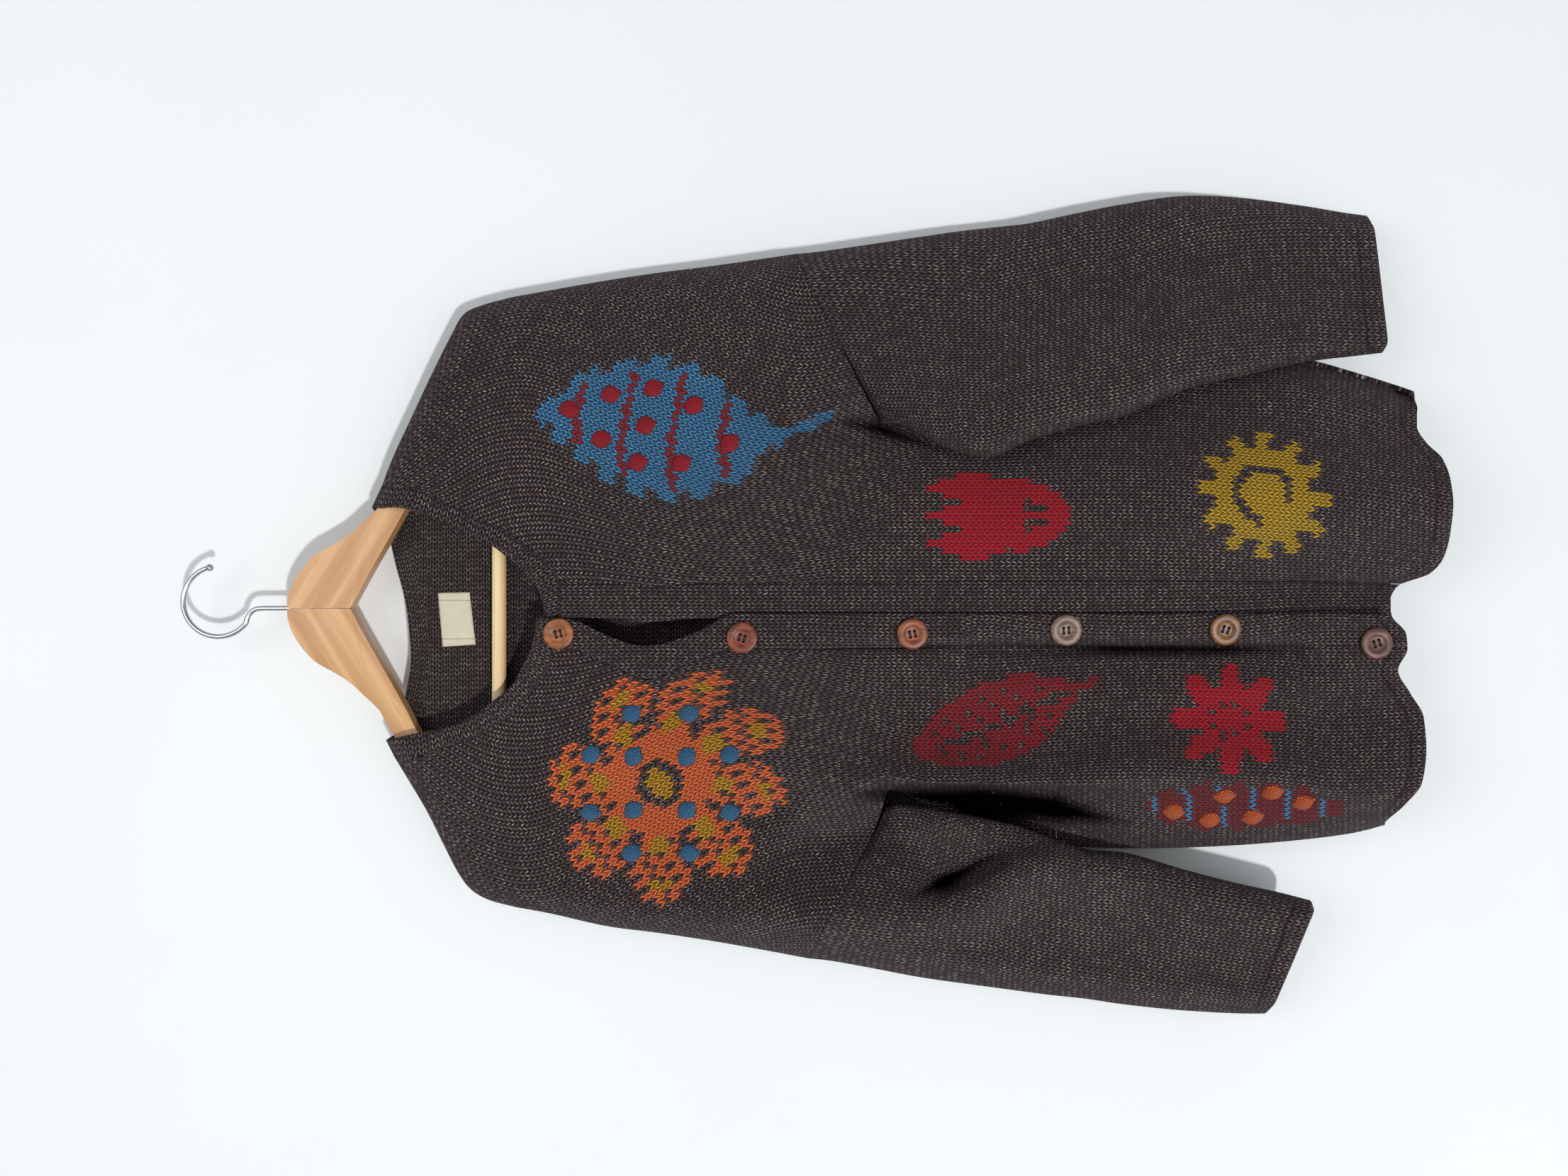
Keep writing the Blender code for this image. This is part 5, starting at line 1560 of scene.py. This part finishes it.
@dataclass
class Bobbles:
    """Knitted bobbles that stand on a front's motifs, each a tuft of one yarn."""

    name: str
    side: Side
    yarn: Yarns
    places: list[Spot]
    radius: float = 6.6
    height: float = 4.6

    def build(self, wear: Knitwear, finish: bpy.types.Material) -> bpy.types.Object:
        """Makes the bobbles where the line of sight to each place meets the front.

        Args:
            wear: The cardigan.
            finish: Their fabric.

        Returns:
            One object with all of them.
        """
        front = wear.made[f"knit_front_{self.side.word}"]
        bare = bmesh.new()
        bare.from_mesh(front.data)
        cloth = BVHTree.FromBMesh(bare)
        bare.free()
        bm = bmesh.new()
        knit = bm.loops.layers.uv.new("knit")
        bm.verts.layers.float.new("trim")
        for number, (x, z) in enumerate(self.places):
            sight = (Vector((x, 0.0, z)) - EYE).normalized()
            place, normal, _, _ = cloth.ray_cast(EYE * MM, sight)
            if normal.y > 0:
                normal = -normal
            dome = bmesh.ops.create_uvsphere(bm, u_segments=20, v_segments=12, radius=1.0)["verts"]
            spin = math.radians(17.0 * number)
            turn = normal.to_track_quat("Z", "Y").to_matrix().to_4x4() @ Matrix.Rotation(spin * 0.3, 4, "Z")
            faces = {face for vert in dome for face in vert.link_faces}
            for face in faces:
                for loop in face.loops:
                    co = loop.vert.co
                    loop[knit].uv = ((co.x * 1.35 + number * 3.0) * self.radius, co.y * 1.35 * self.radius)
            for vert in dome:
                x1, y1, z1 = vert.co
                tail = 1.0 + 0.28 * abs(y1) ** 4 * max(0.0, 1.0 - abs(x1) * 2.0)
                lump = 1.0 + 0.06 * math.sin(5 * x1 + number) * math.cos(4 * y1 - number)
                size = Vector((x1 * self.radius * lump, y1 * self.radius * tail * lump,
                               z1 * (self.height if z1 > 0 else 1.5) * lump))
                vert.co = place + turn @ (size * MM)
        obj = finish_mesh(self.name, bm)
        obj.data.materials.append(finish)
        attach(obj, "root")
        LOG.info("%s: %d bobbles", self.name, len(self.places))
        return obj


@dataclass
class Fuzz:
    """Loose hairs that stand off the cloth, most of them short and a few long and curled."""

    count: int = 2600
    thick: float = 0.09
    longest: float = 6.5

    def build(self, wear: Knitwear, finish: bpy.types.Material) -> None:
        """Makes all the hairs as one object.

        Args:
            wear: The cardigan.
            finish: The yarn's own finish.
        """
        rows = [(obj.data, panel) for obj, panel in ((wear.made[name], name) for name in wear.made)]
        total = sum(len(mesh.polygons) for mesh, _ in rows)
        bm = bmesh.new()
        for number in range(self.count):
            place, normal = self.root(rows, total, number)
            turn = 2.39996 * number
            lean = Vector((math.cos(turn), math.sin(turn * 1.7), math.sin(turn)))
            reach = self.longest * (0.25 + 0.75 * (number * 0.6180339 % 1.0) ** 3)
            self.hair(bm, place, normal, lean, reach, number)
        obj = finish_mesh("loose_hairs", bm)
        obj.data.materials.append(finish)
        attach(obj, "root")

    def root(self, rows: list[tuple[bpy.types.Mesh, str]], total: int, number: int) -> tuple[Vector, Vector]:
        """A hair's root and the cloth's normal there."""
        left = int(number * 0.754877666 * total) % total
        for mesh, _ in rows:
            if left < len(mesh.polygons):
                return mesh.polygons[left].center / MM, mesh.polygons[left].normal
            left -= len(mesh.polygons)
        raise ValueError("no face is left")

    def hair(self, bm: bmesh.types.BMesh, root: Vector, normal: Vector, lean: Vector, reach: float,
             number: int) -> None:
        """One hair: a thin ribbon of three sides that curls as it goes."""
        rings = []
        for k in range(5):
            share = k / 4
            curl = math.sin(share * (2.0 + number % 3)) * 0.35
            middle = root + (normal * (share * 0.55 + 0.02)
                             + lean * (share * share * 0.5 + curl * 0.3)) * reach
            width = self.thick * (1.0 - 0.6 * share)
            ring = [middle + Vector((math.cos(a), math.sin(a), 0.5 * math.sin(a + 1.0))) * width
                    for a in (0.0, 2.1, 4.2)]
            rings.append([bm.verts.new(point * MM) for point in ring])
        for a, b in zip(rings, rings[1:]):
            for k in range(3):
                bm.faces.new((a[k], a[(k + 1) % 3], b[(k + 1) % 3], b[k]))


@dataclass(frozen=True)
class Horn:
    """A mottled button: its two colours and its grain's turn."""

    light: tuple[int, int, int]
    dark: tuple[int, int, int]
    grain: float
    roughness: float = 0.46

    def material(self, name: str) -> bpy.types.Material:
        """The button's finish."""
        made, tree, shader = new_material(name)
        place = object_place(tree)
        turned = tree.nodes.new("ShaderNodeMapping")
        turned.inputs["Rotation"].default_value = (0.0, self.grain, 0.0)
        turned.inputs["Scale"].default_value = (1.0, 1.0, 0.22)
        tree.links.new(place, turned.inputs["Vector"])
        streak = noise(tree, turned.outputs[0], 420.0, 4.0)
        cloud = noise(tree, place, 130.0, 3.0)
        shade = tint(tree, (streak * 0.7 + cloud * 0.5).ease(0.45, 0.8),
                     linear(self.dark), linear(self.light))
        link(tree, shade, shader.inputs["Base Color"])
        link(tree, streak * 0.15 + self.roughness - 0.06, shader.inputs["Roughness"])
        shader.inputs["Coat Weight"].default_value = 0.08
        shader.inputs["Coat Roughness"].default_value = 0.3
        bump = tree.nodes.new("ShaderNodeBump")
        bump.inputs["Strength"].default_value = 0.25
        bump.inputs["Distance"].default_value = 0.0002
        link(tree, streak, bump.inputs["Height"])
        link(tree, bump.outputs[0], shader.inputs["Normal"])
        return made


@dataclass
class Buttons:
    """Six turned four-hole buttons with a raised rim, and the thread that holds them."""

    radius: float = BUTTON_RADIUS
    thick: float = BUTTON_THICK
    hole: float = BUTTON_HOLE
    spread: float = BUTTON_HOLE_SPREAD
    finishes: tuple[Horn, ...] = (
        Horn((164, 96, 46), (98, 50, 20), 0.4), Horn((140, 64, 34), (78, 28, 14), -0.3),
        Horn((150, 74, 34), (86, 36, 16), 1.2), Horn((138, 112, 96), (84, 60, 48), 0.9),
        Horn((142, 92, 46), (78, 48, 22), 0.1), Horn((116, 76, 62), (64, 36, 28), 0.7),
    )

    def profile(self) -> list[Spot]:
        """Half the button's outline, radius and height, from the middle of its top."""
        half, edge = self.thick / 2, self.radius
        return [(0.0, half - 1.25), (3.9, half - 1.25), (5.4, half - 1.05),
                (6.2, half - 0.35), (6.9, half - 0.05),
                (8.0, half), (9.4, half - 0.05), (edge - 0.7, half - 0.3),
                (edge - 0.15, half - 0.95), (edge, 0.0),
                (edge - 0.2, -half + 0.8), (edge - 0.9, -half + 0.1), (edge - 2.0, -half), (0.0, -half)]

    def build(self) -> None:
        """Makes each button, its holes and its thread."""
        thread = thread_finish()
        for number, (x, z) in enumerate(BUTTON_SEATS, 1):
            seat, normal = self.seat(x, z)
            place = Matrix.Translation((seat + normal * (self.thick / 2 + 0.5)) * MM)
            turn = normal.to_track_quat("Z", "Y").to_matrix().to_4x4()
            turn = turn @ Matrix.Rotation(0.35 * math.sin(2.3 * number), 4, "Z")
            bm = bmesh.new()
            line = [bm.verts.new((r * MM, 0.0, h * MM)) for r, h in self.profile()]
            edges = [bm.edges.new(pair) for pair in zip(line, line[1:])]
            bmesh.ops.spin(bm, geom=line + edges, cent=(0, 0, 0), axis=(0, 0, 1), angle=2 * math.pi, steps=48,
                           use_merge=True)
            bmesh.ops.remove_doubles(bm, verts=bm.verts, dist=0.000001)
            bmesh.ops.recalc_face_normals(bm, faces=bm.faces)
            bmesh.ops.transform(bm, matrix=place @ turn, verts=bm.verts)
            blank = finish_mesh(f"blank_{number}", bm)
            holes = []
            for k in range(4):
                angle = math.pi / 4 + math.pi / 2 * k
                offset = Vector((math.cos(angle), math.sin(angle), 0.0)) * self.spread * MM
                holes.append((place @ turn @ offset, normal, self.hole * MM, 3 * self.thick * MM))
            button = bored(blank, f"turned_button_{number}", holes)
            button.data.set_sharp_from_angle(angle=math.radians(40))
            button.data.materials.clear()
            button.data.materials.append(self.finishes[number - 1].material(f"horn_{number}"))
            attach(button, "root")
            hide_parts(f"button_{number}")
            self.sew(number, place @ turn, thread)
        LOG.info("buttons: %d", len(BUTTON_SEATS))

    def seat(self, x: float, z: float) -> tuple[Vector, Vector]:
        """The band's place and outward normal where it is seen at x, z, taken as the button does."""
        def face(dx: float, dz: float) -> Vector:
            return in_place(x + dx, front_y(Side.RIGHT, x + dx, z + dz), z + dz)

        normal = (face(0.5, 0.0) - face(-0.5, 0.0)).cross(face(0.0, 0.5) - face(0.0, -0.5)).normalized()
        return face(0.0, 0.0), normal if normal.y < 0 else -normal

    def sew(self, number: int, place: Matrix, finish: bpy.types.Material) -> None:
        """The thread over a button's holes, in two bars."""
        bm = bmesh.new()
        for sign in (1, -1):
            for lift in (-0.42, 0.42):
                start = Vector((-self.spread * 0.72, sign * self.spread * 0.72 + lift, 0.0))
                rod = bmesh.ops.create_uvsphere(bm, u_segments=10, v_segments=8, radius=1.0)["verts"]
                for vert in rod:
                    long, wide, high = vert.co.z, vert.co.x, vert.co.y
                    arch = 0.25 * (1.0 - long * long)
                    vert.co = Vector((start.x * -long * 1.15, start.y + wide * 0.42,
                                      self.thick / 2 - 1.2 + arch + high * 0.4)) * MM
        bmesh.ops.transform(bm, matrix=place, verts=bm.verts)
        bmesh.ops.recalc_face_normals(bm, faces=bm.faces)
        obj = finish_mesh(f"button_thread_{number}", bm)
        obj.data.materials.append(finish)
        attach(obj, "root")


def thread_finish() -> bpy.types.Material:
    """Dark sewing yarn."""
    made, tree, shader = new_material("sewing_yarn")
    place = object_place(tree)
    ply = noise(tree, place, 900.0, 2.0)
    link(tree, tint(tree, ply, linear((22, 14, 12)), linear((70, 50, 40))), shader.inputs["Base Color"])
    shader.inputs["Roughness"].default_value = 0.9
    return made


@dataclass
class Label:
    """A blank woven tape, sewn to the inside of the back below the neck."""

    thick: float = 0.8
    steps: int = 12

    def build(self) -> None:
        """Makes the tape, a little bowed, and its stitches."""
        panel = Panel("woven_tape", "label", self.point, even(self.steps * 2),
                      even(self.steps), -1, self.seen)
        obj = panel.build()
        thicken(obj, self.thick)
        obj.data.materials.append(self.finish())
        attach(obj, "root")
        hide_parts("label")

    def seen(self, row: float, column: float) -> Spot:
        """Where a point of the tape is seen."""
        (ax, az), (bx, bz), (cx, cz), (dx, dz) = LABEL_CORNERS
        return (mix(mix(ax, bx, row), mix(dx, cx, row), column),
                mix(mix(az, bz, row), mix(dz, cz, row), column))

    def point(self, row: float, column: float) -> Vector:
        """A point of the tape's face."""
        x, z = self.seen(row, column)
        bow = 0.5 * math.sin(math.pi * row) * math.sin(math.pi * column)
        return in_place(x, back_y(back_side(x), x, z) - WALL - 0.25 - self.thick - bow, z)

    def finish(self) -> bpy.types.Material:
        """Cream satin weave with a dotted line of stitches along each short end."""
        made, tree, shader = new_material("woven_cream")
        place = tree.nodes.new("ShaderNodeUVMap")
        place.uv_map = "knit"
        p, q, _ = split(tree, place.outputs[0])
        weft = ((q * 9.0).sin() + (p * 5.0).sin() * 0.6) * 0.5
        cloud = noise(tree, place.outputs[0], 0.09, 3.0)
        shade = tint(tree, cloud, linear((196, 186, 158)), linear((226, 219, 196)))
        shade = tint(tree, weft.ease(-1.0, 1.0) * 0.3, shade, linear((170, 160, 132)))
        dots = (q * 0.9).fract().under(0.5)
        ends = (abs(p + 13.8) - 14.5)
        line = abs(ends).under(0.5) * dots
        shade = tint(tree, line * 0.75, shade, linear((120, 112, 96)))
        link(tree, shade, shader.inputs["Base Color"])
        bump = tree.nodes.new("ShaderNodeBump")
        bump.inputs["Strength"].default_value = 0.6
        bump.inputs["Distance"].default_value = 0.0003
        link(tree, weft - line * 1.5, bump.inputs["Height"])
        link(tree, bump.outputs[0], shader.inputs["Normal"])
        shader.inputs["Roughness"].default_value = 0.62
        shader.inputs["Sheen Weight"].default_value = 0.3
        return made


@dataclass(frozen=True)
class Timber:
    """A varnished or bare wood: its two colours, its grain's turn and its gloss."""

    light: tuple[int, int, int]
    dark: tuple[int, int, int]
    turn: float
    roughness: float
    coat: float

    def material(self, name: str) -> bpy.types.Material:
        """The wood's finish, its grain along the turned x axis."""
        made, tree, shader = new_material(name)
        place = object_place(tree)
        turned = tree.nodes.new("ShaderNodeMapping")
        turned.vector_type = "TEXTURE"
        turned.inputs["Rotation"].default_value = (0.0, self.turn, 0.0)
        tree.links.new(place, turned.inputs["Vector"])
        x, y, z = split(tree, turned.outputs[0])
        long = joined(tree, x * 4.0, y * 60.0, z * 60.0)
        fine = joined(tree, x * 30.0, y * 600.0, z * 600.0)
        warp = noise(tree, long, 1.0, 3.0)
        rings = ((z * 330.0 + y * 120.0 + warp * 9.0) * 1.0).sin() * 0.5 + 0.5
        pores = noise(tree, fine, 1.0, 2.0)
        share = (rings * 0.45 + warp * 0.4 + pores * 0.35).ease(0.3, 0.95)
        shade = tint(tree, share, linear(self.light), linear(self.dark))
        dash = noise(tree, joined(tree, x * 55.0, y * 420.0, z * 420.0), 1.0, 1.0).ease(0.66, 0.74)
        shade = tint(tree, dash * 0.45, shade, linear(self.dark))
        link(tree, shade, shader.inputs["Base Color"])
        link(tree, pores * 0.15 + self.roughness - 0.07, shader.inputs["Roughness"])
        shader.inputs["Coat Weight"].default_value = self.coat
        shader.inputs["Coat Roughness"].default_value = 0.25
        bump = tree.nodes.new("ShaderNodeBump")
        bump.inputs["Strength"].default_value = 0.3
        bump.inputs["Distance"].default_value = 0.0002
        link(tree, pores + rings * 0.3, bump.inputs["Height"])
        link(tree, bump.outputs[0], shader.inputs["Normal"])
        return made


@dataclass
class Hanger:
    """The wooden hanger: two halves that meet at a joint, a round bar and a wire hook."""

    wood_half: float = WOOD_HALF
    edge: float = 2.6
    wire: float = 1.95

    def build(self) -> None:
        """Makes its four pieces."""
        for side in Side:
            self.build_arm(side)
        self.build_bar()
        self.build_hook()
        LOG.info("hanger: two arms, a bar and a hook")

    def build_arm(self, side: Side) -> None:
        """One half, cut from a board, with its edges rounded and its holes bored."""
        rows = HANGER_HALF_OUTLINE
        line = [curve_through(rows, k / 5, HANGER_CORNERS) for k in range(5 * (len(rows) - 1) + 1)]
        sign = side.value
        bm = bmesh.new()
        ring = [bm.verts.new(Vector((HANGER_X + sign * (x + SEAM_GAP / 2), -self.wood_half, z)) * MM)
                for x, z in line[:-1]]
        face = bm.faces.new(ring)
        made = bmesh.ops.extrude_face_region(bm, geom=[face])
        moved = [item for item in made["geom"] if isinstance(item, bmesh.types.BMVert)]
        bmesh.ops.translate(bm, vec=Vector((0.0, 2 * self.wood_half * MM, 0.0)), verts=moved)
        bmesh.ops.recalc_face_normals(bm, faces=bm.faces)
        rims = [edge for edge in bm.edges if edge.is_manifold and edge.calc_face_angle() > math.radians(60)
                and abs(edge.verts[0].co.y - edge.verts[1].co.y) < 1e-6 and self.off_joint(edge)]
        bmesh.ops.bevel(bm, geom=rims, offset=self.edge * MM, offset_type="OFFSET", affect="EDGES",
                        segments=5,
                        profile=0.5, material=-1, clamp_overlap=True)
        blank = finish_mesh(f"arm_blank_{side.word}", bm)
        bores = [(Vector((HOOK_STEM_X, 0.0, -77.5)) * MM, Vector((0, 0, 1)), (self.wire + 0.3) * MM,
                  2 * STEM_DEPTH * MM),
                 (Vector((HANGER_X + sign * BAR_HALF, 0.0, BAR_Z)) * MM, Vector((1, 0, 0)),
                  (TENON_RADIUS + 0.3) * MM, 2 * (TENON_LENGTH + 0.5) * MM)]
        arm = bored(blank, f"wood_arm_{side.word}", bores)
        arm.data.set_sharp_from_angle(angle=math.radians(45))
        arm.data.materials.clear()
        finish = Timber((206, 160, 106), (170, 118, 68), sign * math.radians(32.0), 0.42, 0.35)
        arm.data.materials.append(finish.material(f"honey_wood_{side.word}"))
        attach(arm, "root")
        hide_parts(f"hanger_arm_{side.word}")

    def off_joint(self, edge: bmesh.types.BMEdge) -> bool:
        """True for an edge that isn't in the joint between the halves."""
        return any(abs(vert.co.x / MM - HANGER_X) > SEAM_GAP for vert in edge.verts)

    def build_bar(self) -> None:
        """The bar, turned with a tenon at each end."""
        profile = [(0.0, -BAR_HALF - TENON_LENGTH), (TENON_RADIUS, -BAR_HALF - TENON_LENGTH),
                   (TENON_RADIUS, -BAR_HALF + 14.0), (BAR_RADIUS - 0.4, -BAR_HALF + 14.0),
                   (BAR_RADIUS, -BAR_HALF + 14.5)]
        profile += [(r, -h) for r, h in profile[::-1]]
        bm = bmesh.new()
        line = [bm.verts.new((h * MM, 0.0, r * MM)) for r, h in profile]
        edges = [bm.edges.new(pair) for pair in zip(line, line[1:])]
        bmesh.ops.spin(bm, geom=line + edges, cent=(0, 0, 0), axis=(1, 0, 0), angle=2 * math.pi, steps=32,
                       use_merge=True)
        bmesh.ops.remove_doubles(bm, verts=bm.verts, dist=0.000001)
        bmesh.ops.recalc_face_normals(bm, faces=bm.faces)
        bmesh.ops.translate(bm, vec=Vector((HANGER_X, 0.0, BAR_Z)) * MM, verts=bm.verts)
        obj = finish_mesh("round_bar", bm)
        obj.data.set_sharp_from_angle(angle=math.radians(40))
        obj.data.materials.append(
            Timber((236, 214, 172), (212, 178, 128), 0.0, 0.6, 0.0).material("pale_wood_bar"))
        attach(obj, "root")
        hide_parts("hanger_bar")

    def build_hook(self) -> None:
        """The hook, bent from one wire, with a small ball at its end."""
        middle_z = -(HOOK_RADIUS - HOOK_WIRE)
        bend = [(HOOK_STEM_X, -77.5 - STEM_DEPTH + 0.5, 1.0), (HOOK_STEM_X, -66.0, 1.0),
                (HOOK_STEM_X - 0.3, -54.0, 1.0), (-7.5, -49.0, 1.0), (-12.0, -45.6, 1.0)]
        for k in range(25):
            angle = math.radians(mix(232.0, 20.0, k / 24))
            bend.append((HOOK_RADIUS * math.cos(angle), middle_z + HOOK_RADIUS * math.sin(angle), 1.0))
        tip_x, tip_z, _ = bend[-1]
        for drop, thick in ((0.9, 1.1), (1.7, 1.35), (2.6, 1.5), (3.5, 1.42), (4.3, 1.2),
                            (5.0, 0.75), (5.3, 0.35)):
            bend.append((tip_x + 0.22 * drop, tip_z - 0.96 * drop, thick))
        curve = bpy.data.curves.new("hook_wire", "CURVE")
        curve.dimensions = "3D"
        curve.bevel_depth = self.wire * MM
        curve.bevel_resolution = 5
        curve.use_fill_caps = True
        points = [curve_through(bend, k / 4) for k in range(4 * (len(bend) - 1) + 1)]
        spline = curve.splines.new("POLY")
        spline.points.add(len(points) - 1)
        for target, (x, z, thick) in zip(spline.points, points):
            target.co = (x * MM, 0.0, z * MM, 1.0)
            target.radius = thick
        rough = bpy.data.objects.new("hook_wire", curve)
        bpy.context.scene.collection.objects.link(rough)
        obj = baked(rough, "wire_hook")
        obj.data.shade_smooth()
        obj.data.materials.clear()
        obj.data.materials.append(self.steel())
        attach(obj, "root")
        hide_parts("hook")

    def steel(self) -> bpy.types.Material:
        """Bright plated wire with faint drawn lines and dull spots."""
        made, tree, shader = new_material("plated_steel")
        place = object_place(tree)
        dull = noise(tree, place, 160.0, 3.0)
        lines = noise(tree, place, 1400.0, 1.0)
        link(tree, tint(tree, dull, linear((176, 176, 178)), linear((206, 206, 208))),
             shader.inputs["Base Color"])
        link(tree, dull * 0.16 + lines * 0.08 + 0.12, shader.inputs["Roughness"])
        shader.inputs["Metallic"].default_value = 1.0
        return made


@dataclass
class Stage:
    """The pale floor and backdrop, the soft lights and the camera."""

    wall_y: float = 0.034
    focal: float = 1710.0
    picture_width: float = 2212.0

    def build(self) -> None:
        """Makes them all."""
        self.plane("floor", Matrix.Translation((0.0, -1.5, -2.4)), 8.0, self.pale("pale_floor", False))
        upright = Matrix.Translation((0.0, self.wall_y, -0.45)) @ Matrix.Rotation(math.pi / 2, 4, "X")
        self.plane("backdrop", upright, 2.4, self.pale("pale_backdrop", True))
        self.light("key", (-1.32, -4.0, -1.78), 0.2, 118.0)
        self.light("fill", (0.15, -1.4, 0.55), 0.9, 8.0)
        self.light("rim", (-0.4, 1.8, 0.3), 1.8, 10.0)
        world = bpy.context.scene.world or bpy.data.worlds.new("studio")
        bpy.context.scene.world = world
        world.use_nodes = True
        world.node_tree.nodes["Background"].inputs[0].default_value = (0.97, 0.975, 1.0, 1.0)
        world.node_tree.nodes["Background"].inputs[1].default_value = 0.36
        bpy.context.scene.view_settings.view_transform = "Standard"
        self.camera()

    def plane(self, name: str, place: Matrix, size: float, finish: bpy.types.Material) -> None:
        """A flat square that isn't part of the object."""
        bm = bmesh.new()
        bmesh.ops.create_grid(bm, x_segments=1, y_segments=1, size=size, matrix=place)
        obj = finish_mesh(name, bm)
        obj.data.materials.append(finish)

    def pale(self, name: str, see_through: bool) -> bpy.types.Material:
        """A matt near-white finish. If see-through, light passes it and it doesn't show from behind."""
        made, tree, shader = new_material(name)
        place = object_place(tree)
        cloud = noise(tree, place, 3.0, 3.0)
        link(tree, tint(tree, cloud, linear((226, 230, 231)), linear((232, 236, 237))),
             shader.inputs["Base Color"])
        shader.inputs["Roughness"].default_value = 0.9
        if see_through:
            geometry = tree.nodes.new("ShaderNodeNewGeometry")
            path = tree.nodes.new("ShaderNodeLightPath")
            clear = tree.nodes.new("ShaderNodeBsdfTransparent")
            either = tree.nodes.new("ShaderNodeMath")
            either.operation = "MAXIMUM"
            tree.links.new(geometry.outputs["Backfacing"], either.inputs[0])
            tree.links.new(path.outputs["Is Shadow Ray"], either.inputs[1])
            both = tree.nodes.new("ShaderNodeMixShader")
            tree.links.new(either.outputs[0], both.inputs[0])
            tree.links.new(shader.outputs[0], both.inputs[1])
            tree.links.new(clear.outputs[0], both.inputs[2])
            tree.links.new(both.outputs[0], tree.nodes["Material Output"].inputs["Surface"])
        return made

    def light(self, name: str, place: tuple[float, float, float], size: float, power: float) -> None:
        """A square soft light that faces the cardigan's middle."""
        lamp = bpy.data.lights.new(name, "AREA")
        lamp.shape = "SQUARE"
        lamp.size = size
        lamp.energy = power
        obj = bpy.data.objects.new(name, lamp)
        bpy.context.scene.collection.objects.link(obj)
        obj.location = place
        obj.rotation_euler = (Vector((0.0, 0.0, -0.5)) - Vector(place)).to_track_quat("-Z", "Y").to_euler()

    def camera(self) -> None:
        """The camera where the picture was taken from, on its side as the picture is."""
        lens = bpy.data.cameras.new("view")
        lens.sensor_fit = "HORIZONTAL"
        lens.sensor_width = 36.0
        lens.lens = self.focal * 36.0 / self.picture_width
        obj = bpy.data.objects.new("view", lens)
        bpy.context.scene.collection.objects.link(obj)
        turn = Matrix(((0.0, 1.0, 0.0), (0.0, 0.0, -1.0), (-1.0, 0.0, 0.0)))
        obj.matrix_world = Matrix.Translation(EYE * MM) @ turn.to_4x4()
        bpy.context.scene.camera = obj


def turned_place(middle: Spot, tilt: float, across: float, up: float) -> Spot:
    """A place that is measured from a motif's middle, across and up."""
    angle = math.radians(tilt)
    return (middle[0] + across * math.cos(angle) - up * math.sin(angle),
            middle[1] + across * math.sin(angle) + up * math.cos(angle))


def main() -> None:
    """Builds the cardigan and its hanger, then the stage."""
    logging.basicConfig(level=logging.INFO, format="%(message)s")
    wear = Knitwear()
    wear.plan()
    wear.build()
    flower = [turned_place(FLOWER_MIDDLE, start + 360.0 * k / count, 0.0, radius)
              for radius, count, start in FLOWER_RINGS for k in range(count)]
    leaf = [turned_place(LEAF_MIDDLE, LEAF_TILT, a, b) for a, b in LEAF_BOBBLES]
    fern = [turned_place(FERN_MIDDLE, FERN_TILT, a, b) for a, b in FERN_BOBBLES]
    bobbles: dict[str, list[bpy.types.Object]] = {}
    for name, side, yarn, places in (("bobbles_flower", Side.RIGHT, Yarns.BLUE, flower),
                                     ("bobbles_leaf", Side.LEFT, Yarns.CRIMSON, leaf),
                                     ("bobbles_fern", Side.RIGHT, Yarns.ORANGE, fern)):
        finish = KnitFinish().material(f"{name}_knit", yarn=yarn, fine=1.5)
        made = Bobbles(name, side, yarn, places).build(wear, finish)
        bobbles.setdefault(f"knit_front_{side.word}", []).append(made)
    Fuzz().build(wear, KnitFinish().fluff())
    Label().build()
    Buttons().build()
    Hanger().build()
    Stage().build()


if __name__ == "__main__":
    main()
